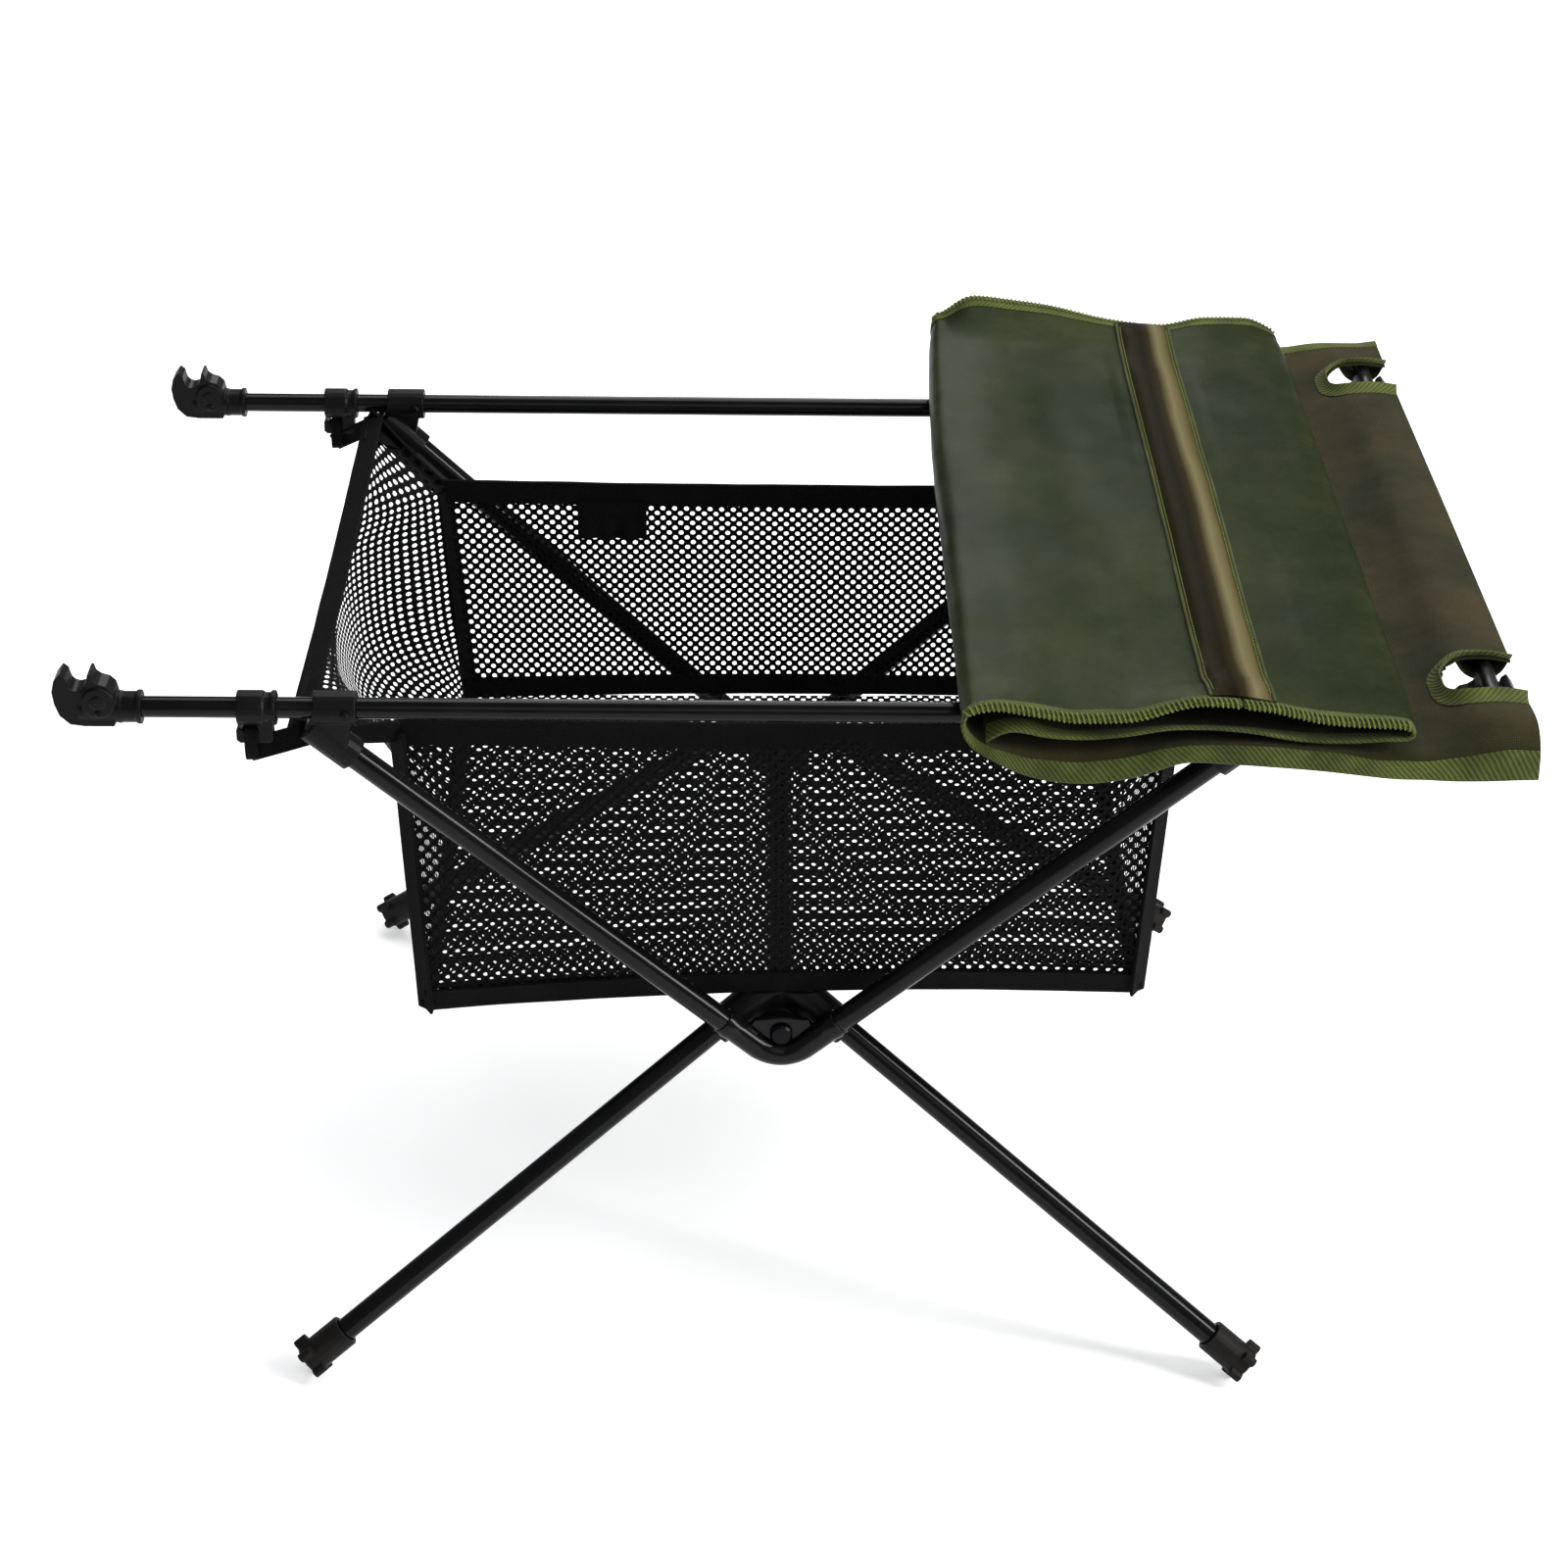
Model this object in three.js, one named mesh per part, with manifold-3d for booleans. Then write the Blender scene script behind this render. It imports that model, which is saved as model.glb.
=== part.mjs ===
// Folding camp table: aluminium pole frame with two crossed-leg hubs, a hung mesh basket and a
// roll-up fabric top that is clipped on at the right-hand end and rolled back over itself.
// Millimetres, +Z up, X along the rails, the front of the table towards -Y, floor at Z = 0.
import * as THREE from 'three';
import { mergeVertices } from 'three/addons/utils/BufferGeometryUtils.js';
import Module from 'manifold-3d';

const wasm = await Module();
wasm.setup();

// ---------------------------------------------------------------- driving dimensions
const ROD_X = 325;            // hem rods sit this far from the middle
const TOP_HALF_LENGTH = 337;  // fabric edge, unrolled
const TOP_HALF_WIDTH = 230;
const RAIL_Y = 179;
const RAIL_Z = 364;
const ROD_Z = RAIL_Z + 15;
const GAP = 0.3;

const RAIL_R = 5;
const POLE_R = 6;
const ROD_R = 4;
const CROSSBAR_R = 7.5;
const TUBE_WALL = 1;

const ELBOW_Y = 160;          // upper V elbows
const ELBOW_APEX_Z = 156;     // where the two upper pole axes would meet
const HUB_Y = 141;            // lower legs
const HUB_APEX_Z = 195;       // where the two lower leg axes would meet
const CROSSBAR_Z = 174;
const ELBOW_R = 6.5;
const ELBOW_BEND = 15;
const ELBOW_ARM = 39;

const UPPER_END = new THREE.Vector3(222.7, RAIL_Y, 358);
const LOWER_END = new THREE.Vector3(237, 214, 9.5);
const POLE_END_S = 288;       // distance from the apex to the top end of an upper pole
const LEG_START_S = 22.5;     // distance from the apex to the hub end of a lower leg
const HUB_SOCKET_S = 43;
const ELBOW_BORE = 4.8;
const SPIGOT = 18;

const FOOT_R = 8.5;
const FOOT_LENGTH = 25;
const LOBE_R = 2.6;
const LOBE_REACH = 9.2;
const LOBE_HEIGHT = 7;

const CLAW_SOCKET_U = 28.5;   // claw socket mouth, inboard of the rod
const RAIL_END_U = 3.3;
const CLAW_WIDTH = 13;
const CLAW_PIN_U = 9.5;
const COLLAR_X = 244;
const COLLAR_LENGTH = 18;
const COLLAR_R = 8.2;
const BRACKET_X = 208;
const BRACKET_LENGTH = 20;
const BRACKET_PIN_X = 203;

const BASKET_FLOOR_Z = 194;
const BASKET_FLOOR_X = 176;
const BASKET_FLOOR_Y = 150;
const BASKET_HEM_Z = 330;
const BASKET_CREASE_Z = 286;  // above this the end walls flare out to the hooks
const BASKET_HEM_X = 185;
const BASKET_HEM_Y = 138;
const BASKET_CORNER = new THREE.Vector3(244, 176, 335);
const BASKET_SKIN = 2;
const BINDING_R = 1.8;
const LABEL_X = -93;
const LABEL_WIDTH = 38;

const SHEET = 1.6;            // thickness of one fabric layer
const LOWER_LAYER_Z = 374.5;
const INNER_LAYER_Z = 377.5;
const UPPER_LAYER_Z = 390;
const SHEET_OVER_ROD_Z = ROD_Z + 5.3;
const LEFT_FOLD_X = 86;
const RIGHT_FOLD_X = 276.5;
const RISE_START_X = 287;
const RISE_END_X = 312;
const CUTOUT_DEPTH = 42;
const CUTOUT_HALF_WIDTH = 24;
const POCKET_R = 5.3;
const HEM_ROD_HALF = 218;
const SLEEVE_X = 203;
const SLEEVE_WIDTH = 30;
const SLEEVE_HEIGHT = 3.9;

const LEFT_FOLD_R = (UPPER_LAYER_Z - LOWER_LAYER_Z) / 2;
const RIGHT_FOLD_R = (UPPER_LAYER_Z - INNER_LAYER_Z) / 2;
// Lying flat, each fold takes up half the length of its round on either side of these lines,
// which is what puts the far rod at -ROD_X when the top is fully open.
const UNROLL_X = LEFT_FOLD_X - Math.PI * LEFT_FOLD_R / 2;
const SECOND_FOLD_X = RIGHT_FOLD_X + Math.PI * RIGHT_FOLD_R / 2;
const INNER_SHIFT_X = 2 * (SECOND_FOLD_X - UNROLL_X);
const INNER_SHIFT_Z = INNER_LAYER_Z - LOWER_LAYER_Z;

// ---------------------------------------------------------------- materials
const FINISH = {
  frame: { color: '#101112', roughness: 0.28, metalness: 0.85 },
  plastic: { color: '#0c0c0d', roughness: 0.5, metalness: 0 },
  rubber: { color: '#141210', roughness: 0.8, metalness: 0 },
  rivet: { color: '#2a2b2c', roughness: 0.35, metalness: 0.9 },
  net: { color: '#101010', roughness: 0.85, metalness: 0 },
  webbing: { color: '#0e0e0e', roughness: 0.9, metalness: 0 },
  coated: { color: '#3b4230', roughness: 0.45, metalness: 0 },
  woven: { color: '#463f28', roughness: 0.85, metalness: 0 },
  strap: { color: '#5b4c2c', roughness: 0.5, metalness: 0 },
  rod: { color: '#8a8c8e', roughness: 0.4, metalness: 0.8 },
};

const group = new THREE.Group();
group.name = 'camp_table';

// ---------------------------------------------------------------- helpers
function solid(geometry) {
  const bare = new THREE.BufferGeometry();
  bare.setAttribute('position', geometry.getAttribute('position').clone());
  if (geometry.index) {
    bare.setIndex(geometry.index.clone());
  }
  const merged = mergeVertices(bare, 1e-4);
  const mesh = new wasm.Mesh({
    numProp: 3,
    vertProperties: new Float32Array(merged.getAttribute('position').array),
    triVerts: new Uint32Array(merged.index.array),
  });
  return new wasm.Manifold(mesh);
}

function toGeometry(body) {
  const mesh = body.getMesh();
  const geometry = new THREE.BufferGeometry();
  geometry.setAttribute('position', new THREE.BufferAttribute(mesh.vertProperties.slice(), 3));
  geometry.setIndex(new THREE.BufferAttribute(mesh.triVerts.slice(), 1));
  return geometry;
}

function place(name, body, finish) {
  const geometry = body instanceof THREE.BufferGeometry ? body : toGeometry(body);
  geometry.computeVertexNormals();
  const mesh = new THREE.Mesh(geometry, new THREE.MeshStandardMaterial(FINISH[finish]));
  mesh.name = name;
  group.add(mesh);
}

// Turns a geometry built along +Y so that its base is at `from` and its axis points to `to`.
function along(geometry, from, to) {
  const axis = to.clone().sub(from).normalize();
  const turn = new THREE.Quaternion().setFromUnitVectors(new THREE.Vector3(0, 1, 0), axis);
  geometry.applyQuaternion(turn);
  geometry.translate(from.x, from.y, from.z);
  return geometry;
}

function lathe(profile, segments) {
  return new THREE.LatheGeometry(profile.map(([r, h]) => new THREE.Vector2(r, h)), segments);
}

function cylinder(from, to, radius, segments = 16) {
  const length = from.distanceTo(to);
  const profile = [[0, 0], [radius, 0], [radius, length], [0, length]];
  return solid(along(lathe(profile, segments), from, to));
}

function tube(from, to, outer, inner, segments = 18) {
  const length = from.distanceTo(to);
  const profile = [[inner, 0], [outer, 0], [outer, length], [inner, length], [inner, 0]];
  return solid(along(lathe(profile, segments), from, to));
}

function box(minX, maxX, minY, maxY, minZ, maxZ) {
  const geometry = new THREE.BoxGeometry(maxX - minX, maxY - minY, maxZ - minZ);
  geometry.translate((minX + maxX) / 2, (minY + maxY) / 2, (minZ + maxZ) / 2);
  return solid(geometry);
}

function outline(points) {
  return new THREE.Shape(points.map(([x, y]) => new THREE.Vector2(x, y)));
}

// A flat outline drawn in X (across) and Z (up), made thick along Y.
function slabXZ(points, minY, maxY) {
  const geometry = new THREE.ExtrudeGeometry(outline(points), {
    depth: maxY - minY,
    bevelEnabled: false,
  });
  geometry.rotateX(Math.PI / 2);
  geometry.translate(0, maxY, 0);
  return solid(geometry);
}

function slabXY(points, minZ, maxZ) {
  const geometry = new THREE.ExtrudeGeometry(outline(points), {
    depth: maxZ - minZ,
    bevelEnabled: false,
  });
  geometry.translate(0, 0, minZ);
  return solid(geometry);
}

// A thin panel through any flat polygon of points in space.
function panel(points, thickness) {
  const origin = points[0];
  const across = points[1].clone().sub(origin).normalize();
  const other = points[2].clone().sub(origin);
  const normal = across.clone().cross(other).normalize();
  const up = normal.clone().cross(across);
  const flat = points.map((p) => {
    const d = p.clone().sub(origin);
    return [d.dot(across), d.dot(up)];
  });
  const geometry = new THREE.ExtrudeGeometry(outline(flat), {
    depth: thickness,
    bevelEnabled: false,
  });
  geometry.translate(0, 0, -thickness / 2);
  const frame = new THREE.Matrix4().makeBasis(across, up, normal);
  geometry.applyMatrix4(frame);
  geometry.translate(origin.x, origin.y, origin.z);
  return solid(geometry);
}

function union(bodies) {
  return bodies.reduce((sum, body) => sum.add(body));
}

// The right-hand front corner is modelled and copied to the other corners by mirroring.
function mirrored(body, sx, sy) {
  return body.scale([sx, sy, 1]);
}

const CORNERS = [
  { tag: 'fl', sx: -1, sy: -1 },
  { tag: 'fr', sx: 1, sy: -1 },
  { tag: 'rl', sx: -1, sy: 1 },
  { tag: 'rr', sx: 1, sy: 1 },
];
const SIDES = [
  { tag: 'front', sy: -1 },
  { tag: 'rear', sy: 1 },
];

// All corner pieces are drawn for +X, +Y.
const upperApex = new THREE.Vector3(0, ELBOW_Y, ELBOW_APEX_Z);
const upperAxis = UPPER_END.clone().sub(upperApex).normalize();
const lowerApex = new THREE.Vector3(0, HUB_Y, HUB_APEX_Z);
const lowerAxis = LOWER_END.clone().sub(lowerApex).normalize();

function onUpper(s) {
  return upperApex.clone().addScaledVector(upperAxis, s);
}

function onLower(s) {
  return lowerApex.clone().addScaledVector(lowerAxis, s);
}

// ---------------------------------------------------------------- rails
const railHalf = ROD_X - RAIL_END_U;
const CLAW_PIN_X = ROD_X - CLAW_PIN_U;

function pinHole(x, z, radius) {
  const from = new THREE.Vector3(x, RAIL_Y - 20, z);
  const to = new THREE.Vector3(x, RAIL_Y + 20, z);
  return cylinder(from, to, radius, 8);
}

for (const { tag, sy } of SIDES) {
  const from = new THREE.Vector3(-railHalf, RAIL_Y, RAIL_Z);
  const to = new THREE.Vector3(railHalf, RAIL_Y, RAIL_Z);
  let rail = tube(from, to, RAIL_R, RAIL_R - TUBE_WALL);
  for (const x of [-CLAW_PIN_X, -BRACKET_PIN_X, BRACKET_PIN_X, CLAW_PIN_X]) {
    rail = rail.subtract(pinHole(x, RAIL_Z, 1.5 + GAP));
  }
  place(`rail_${tag}`, mirrored(rail, 1, sy), 'frame');
}

// ---------------------------------------------------------------- claw clips
// Side profile of the open-topped hook: distance outboard of the rod, height above the rail axis.
const HOOK_PROFILE = [
  [5.2, 19.5], [8.6, 17.6], [11.2, 14.4], [12, 11.6], [11.4, 7], [10.4, 2],
  [8.4, -3], [4, -6.6], [-2, -7.3], [-16, -7.3], [-16.8, 8], [-16.6, 13],
  [-14.4, 16.6], [-9.6, 18.8], [-5.2, 19.5],
];

function clawBody() {
  const hook = slabXZ(
    HOOK_PROFILE.map(([u, v]) => [ROD_X + u, RAIL_Z + v]),
    RAIL_Y - CLAW_WIDTH / 2,
    RAIL_Y + CLAW_WIDTH / 2,
  );
  const mouth = new THREE.Vector3(ROD_X - CLAW_SOCKET_U, RAIL_Y, RAIL_Z);
  const nose = new THREE.Vector3(ROD_X + 1, RAIL_Y, RAIL_Z);
  const socket = cylinder(mouth, nose, 7.3);
  const lipEnd = new THREE.Vector3(ROD_X - CLAW_SOCKET_U + 2, RAIL_Y, RAIL_Z);
  const lip = cylinder(mouth, lipEnd, 8);
  const seat = cylinder(
    new THREE.Vector3(ROD_X, RAIL_Y - 20, ROD_Z),
    new THREE.Vector3(ROD_X, RAIL_Y + 20, ROD_Z),
    ROD_R + GAP,
  );
  const slot = box(
    ROD_X - ROD_R - GAP, ROD_X + ROD_R + GAP,
    RAIL_Y - 20, RAIL_Y + 20,
    ROD_Z, ROD_Z + 20,
  );
  const bore = cylinder(
    new THREE.Vector3(ROD_X - 40, RAIL_Y, RAIL_Z),
    new THREE.Vector3(ROD_X - RAIL_END_U + GAP, RAIL_Y, RAIL_Z),
    RAIL_R + GAP,
  );
  return union([hook, socket, lip]).subtract(seat).subtract(slot).subtract(bore)
    .subtract(pinHole(CLAW_PIN_X, RAIL_Z, 1.5 + GAP));
}

// A rivet across the rail: a straight shank with a low dome at each end.
function crossPin(x, halfLength) {
  const profile = [
    [0, -halfLength - 1.3], [1.4, -halfLength - 1.1], [2.5, -halfLength - GAP],
    [1.5, -halfLength - GAP], [1.5, halfLength + GAP], [2.5, halfLength + GAP],
    [1.4, halfLength + 1.1], [0, halfLength + 1.3],
  ];
  const geometry = lathe(profile, 8);
  geometry.translate(x, RAIL_Y, RAIL_Z);
  return solid(geometry);
}

// ---------------------------------------------------------------- hook collars
function collarBody() {
  const half = COLLAR_LENGTH / 2;
  const profile = [
    [RAIL_R + GAP, -half], [COLLAR_R, -half], [COLLAR_R, half - 6],
    [COLLAR_R - 0.9, half - 5.2], [COLLAR_R - 0.9, half - 2.6], [COLLAR_R, half - 1.8],
    [COLLAR_R, half], [RAIL_R + GAP, half], [RAIL_R + GAP, -half],
  ];
  const geometry = lathe(profile, 16);
  geometry.rotateZ(Math.PI / 2);
  geometry.translate(COLLAR_X, RAIL_Y, RAIL_Z);
  const sleeve = solid(geometry);
  const hook = slabXZ([
    [COLLAR_X - 7, RAIL_Z - 6], [COLLAR_X - 7, RAIL_Z - 15.2], [COLLAR_X - 5.4, RAIL_Z - 17],
    [COLLAR_X + 8.4, RAIL_Z - 17], [COLLAR_X + 10, RAIL_Z - 15.6], [COLLAR_X + 10, RAIL_Z - 10.4],
    [COLLAR_X + 8.8, RAIL_Z - 9.6], [COLLAR_X + 7, RAIL_Z - 10], [COLLAR_X + 6, RAIL_Z - 12],
    [COLLAR_X, RAIL_Z - 12], [COLLAR_X, RAIL_Z - 6],
  ], RAIL_Y - 3.5, RAIL_Y + 3.5);
  const bore = cylinder(
    new THREE.Vector3(COLLAR_X - 30, RAIL_Y, RAIL_Z),
    new THREE.Vector3(COLLAR_X + 30, RAIL_Y, RAIL_Z),
    RAIL_R + GAP,
  );
  return sleeve.add(hook).subtract(bore);
}

// ---------------------------------------------------------------- leg brackets
function bracketBody() {
  const from = new THREE.Vector3(BRACKET_X - BRACKET_LENGTH / 2, RAIL_Y, RAIL_Z);
  const to = new THREE.Vector3(BRACKET_X + BRACKET_LENGTH / 2, RAIL_Y, RAIL_Z);
  const sleeve = cylinder(from, to, COLLAR_R);
  const socket = cylinder(onUpper(POLE_END_S - 16), onUpper(POLE_END_S + 10), 8.3);
  const web = slabXZ([
    [BRACKET_X - 8, RAIL_Z], [BRACKET_X - 5, RAIL_Z - 17], [BRACKET_X - 1, RAIL_Z - 22],
    [BRACKET_X + 8, RAIL_Z - 18], [BRACKET_X + 14, RAIL_Z - 8], [BRACKET_X + 9, RAIL_Z],
  ], RAIL_Y - 6, RAIL_Y + 6);
  const railBore = cylinder(
    new THREE.Vector3(BRACKET_X - 40, RAIL_Y, RAIL_Z),
    new THREE.Vector3(BRACKET_X + 40, RAIL_Y, RAIL_Z),
    RAIL_R + GAP,
  );
  const poleBore = cylinder(onUpper(POLE_END_S - 60), onUpper(POLE_END_S + GAP), POLE_R + GAP);
  return union([sleeve, socket, web]).subtract(railBore).subtract(poleBore)
    .subtract(pinHole(BRACKET_PIN_X, RAIL_Z, 1.5 + GAP));
}

// ---------------------------------------------------------------- upper poles and V elbows
function upperPole() {
  const length = POLE_END_S - ELBOW_ARM + SPIGOT - GAP;
  const inner = POLE_R - TUBE_WALL;
  const profile = [
    [3.6, 0], [ELBOW_BORE - GAP, 0], [ELBOW_BORE - GAP, SPIGOT], [POLE_R, SPIGOT],
    [POLE_R, length], [inner, length], [inner, SPIGOT + 6], [3.6, SPIGOT + 3], [3.6, 0],
  ];
  const start = ELBOW_ARM - SPIGOT + GAP;
  return solid(along(lathe(profile, 18), onUpper(start), onUpper(POLE_END_S)));
}

// Centre line of one bent elbow: straight arm, round bend, straight arm.
function elbowPath() {
  const rise = Math.asin(upperAxis.z);
  const tangentLength = ELBOW_BEND * Math.tan(rise);
  const right = onUpper(ELBOW_ARM);
  const bendRight = onUpper(tangentLength);
  const flip = new THREE.Vector3(-1, 1, 1);
  const path = new THREE.CurvePath();
  const bendLeft = bendRight.clone().multiply(flip);
  const left = right.clone().multiply(flip);
  path.add(new THREE.LineCurve3(left, bendLeft));
  path.add(new THREE.QuadraticBezierCurve3(bendLeft, lowerBendPoint(bendRight), bendRight));
  path.add(new THREE.LineCurve3(bendRight, right));
  return path;
}

function lowerBendPoint(bendRight) {
  const middle = bendRight.clone();
  middle.x = 0;
  return middle.lerp(upperApex, 0.86);
}

function elbowBody() {
  const ring = new THREE.Shape();
  ring.absarc(0, 0, ELBOW_R, 0, 2 * Math.PI, false);
  const bent = solid(new THREE.ExtrudeGeometry(ring, {
    steps: 13,
    curveSegments: 8,
    bevelEnabled: false,
    extrudePath: elbowPath(),
  }));
  const web = slabXZ([
    [-4, ELBOW_APEX_Z + 6], [4, ELBOW_APEX_Z + 6], [17, ELBOW_APEX_Z + 20],
    [12, ELBOW_APEX_Z + 25.5], [-12, ELBOW_APEX_Z + 25.5], [-17, ELBOW_APEX_Z + 20],
  ], ELBOW_Y - 2, ELBOW_Y + 2);
  const boreRight = cylinder(onUpper(ELBOW_ARM - SPIGOT), onUpper(ELBOW_ARM + 5), ELBOW_BORE);
  const hole = cylinder(
    new THREE.Vector3(0, ELBOW_Y - 10, CROSSBAR_Z),
    new THREE.Vector3(0, ELBOW_Y + 10, CROSSBAR_Z),
    2.5 + GAP,
    12,
  );
  return bent.add(web).subtract(boreRight).subtract(mirrored(boreRight, -1, 1)).subtract(hole);
}

// ---------------------------------------------------------------- hub blocks
const CROSSBAR_END_Y = HUB_Y - 3.5;

function hubBody() {
  const socket = cylinder(onLower(6), onLower(HUB_SOCKET_S), 8.8);
  const core = box(-17, 17, HUB_Y - 10, HUB_Y + 9, 160, 191);
  const boss = cylinder(
    new THREE.Vector3(0, HUB_Y, CROSSBAR_Z),
    new THREE.Vector3(0, ELBOW_Y - 2 - GAP, CROSSBAR_Z),
    6.5,
  );
  const spigotCup = cylinder(
    new THREE.Vector3(0, HUB_Y - 24, CROSSBAR_Z),
    new THREE.Vector3(0, HUB_Y, CROSSBAR_Z),
    10,
  );
  const top = box(-80, 80, 0, 300, 191, 260);
  const bore = cylinder(onLower(LEG_START_S - GAP), onLower(200), POLE_R + GAP);
  const barBore = cylinder(
    new THREE.Vector3(0, HUB_Y - 60, CROSSBAR_Z),
    new THREE.Vector3(0, CROSSBAR_END_Y + GAP, CROSSBAR_Z),
    CROSSBAR_R + GAP,
  );
  const rivetBore = cylinder(
    new THREE.Vector3(0, HUB_Y - 3, CROSSBAR_Z),
    new THREE.Vector3(0, HUB_Y + 40, CROSSBAR_Z),
    2.5 + GAP,
    12,
  );
  const armSeat = cylinder(onUpper(0), onUpper(80), ELBOW_R + GAP);
  let body = union([socket, mirrored(socket, -1, 1), core, boss, spigotCup]);
  for (const cut of [bore, mirrored(bore, -1, 1), armSeat, mirrored(armSeat, -1, 1)]) {
    body = body.subtract(cut);
  }
  return body.subtract(top).subtract(barBore).subtract(rivetBore);
}

// Flanged rivet in the crotch of the V, through the web into the hub block.
function hubRivet() {
  const inside = HUB_Y + 0.5;
  const face = ELBOW_Y + 2 + GAP;
  const profile = [
    [0, inside], [2.5, inside], [2.5, face], [5.7, face], [5.7, face + 1],
    [4.6, face + 2.2], [2, face + 2.6], [0, face + 2.6],
  ];
  const geometry = lathe(profile, 14);
  geometry.translate(0, 0, CROSSBAR_Z);
  return solid(geometry);
}

for (const { tag, sy } of SIDES) {
  place(`elbow_${tag}`, mirrored(elbowBody(), 1, sy), 'frame');
  place(`hub_${tag}`, mirrored(hubBody(), 1, sy), 'plastic');
  place(`hub_rivet_${tag}`, mirrored(hubRivet(), 1, sy), 'rivet');
}

place('crossbar', tube(
  new THREE.Vector3(0, -CROSSBAR_END_Y, CROSSBAR_Z),
  new THREE.Vector3(0, CROSSBAR_END_Y, CROSSBAR_Z),
  CROSSBAR_R,
  CROSSBAR_R - 1.2,
), 'frame');

// ---------------------------------------------------------------- lower legs and feet
const legTilt = Math.hypot(lowerAxis.x, lowerAxis.y);
const footCentreZ = (LOBE_REACH + LOBE_R) * legTilt;
const footEndS = (HUB_APEX_Z - footCentreZ) / -lowerAxis.z;

function legBody() {
  return tube(onLower(LEG_START_S), onLower(footEndS - 4.5 - GAP), POLE_R, POLE_R - TUBE_WALL);
}

function footBody() {
  const base = footEndS - FOOT_LENGTH;
  const profile = [
    [0, 0], [FOOT_R, 0], [FOOT_R, FOOT_LENGTH - 1.2], [FOOT_R - 1.2, FOOT_LENGTH],
    [0, FOOT_LENGTH],
  ];
  const cup = solid(along(lathe(profile, 16), onLower(base), onLower(footEndS)));
  const down = new THREE.Vector3(0, 0, -1);
  const inPlane = down.clone().addScaledVector(lowerAxis, -down.dot(lowerAxis)).normalize();
  let body = cup;
  for (let k = 0; k < 5; k += 1) {
    const turn = new THREE.Quaternion().setFromAxisAngle(lowerAxis, k * 2 * Math.PI / 5);
    const offset = inPlane.clone().applyQuaternion(turn).multiplyScalar(LOBE_REACH);
    const from = onLower(footEndS - LOBE_HEIGHT).add(offset);
    const to = onLower(footEndS).add(offset);
    body = body.add(cylinder(from, to, LOBE_R, 8));
  }
  const bore = cylinder(onLower(base - 10), onLower(footEndS - 4.5), POLE_R + GAP);
  return body.subtract(bore);
}

// ---------------------------------------------------------------- corner pieces
const WEB_LOOP = [
  [-6.8, -26], [6.8, -26], [6.8, -9], [-6.8, -9],
];

// Flat webbing loop hung on the collar hook, sewn to the basket corner below it.
function basketLoop() {
  const ring = new THREE.Shape(WEB_LOOP.map(([y, z]) => new THREE.Vector2(y, z)));
  const hole = new THREE.Path([
    new THREE.Vector2(-5.6, -24.8), new THREE.Vector2(-5.6, -10.2),
    new THREE.Vector2(5.6, -10.2), new THREE.Vector2(5.6, -24.8),
  ]);
  ring.holes.push(hole);
  const geometry = new THREE.ExtrudeGeometry(ring, { depth: 5, bevelEnabled: false });
  const turn = new THREE.Matrix4().makeBasis(
    new THREE.Vector3(0, 1, 0),
    new THREE.Vector3(0, 0, 1),
    new THREE.Vector3(1, 0, 0),
  );
  geometry.applyMatrix4(turn);
  geometry.translate(COLLAR_X + 0.6, RAIL_Y, RAIL_Z);
  return solid(geometry);
}

for (const { tag, sx, sy } of CORNERS) {
  place(`claw_${tag}`, mirrored(clawBody(), sx, sy), 'plastic');
  place(`claw_pin_${tag}`, mirrored(crossPin(CLAW_PIN_X, 7.3), sx, sy), 'rivet');
  place(`collar_${tag}`, mirrored(collarBody(), sx, sy), 'plastic');
  place(`bracket_${tag}`, mirrored(bracketBody(), sx, sy), 'plastic');
  place(`bracket_pin_${tag}`, mirrored(crossPin(BRACKET_PIN_X, 8.2), sx, sy), 'rivet');
  place(`pole_${tag}`, mirrored(upperPole(), sx, sy), 'frame');
  place(`leg_${tag}`, mirrored(legBody(), sx, sy), 'frame');
  place(`foot_${tag}`, mirrored(footBody(), sx, sy), 'rubber');
  place(`basket_loop_${tag}`, mirrored(basketLoop(), sx, sy), 'webbing');
}

// ---------------------------------------------------------------- basket
function basketPoint(sx, sy, x, y, z) {
  return new THREE.Vector3(sx * x, sy * y, z);
}

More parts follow.
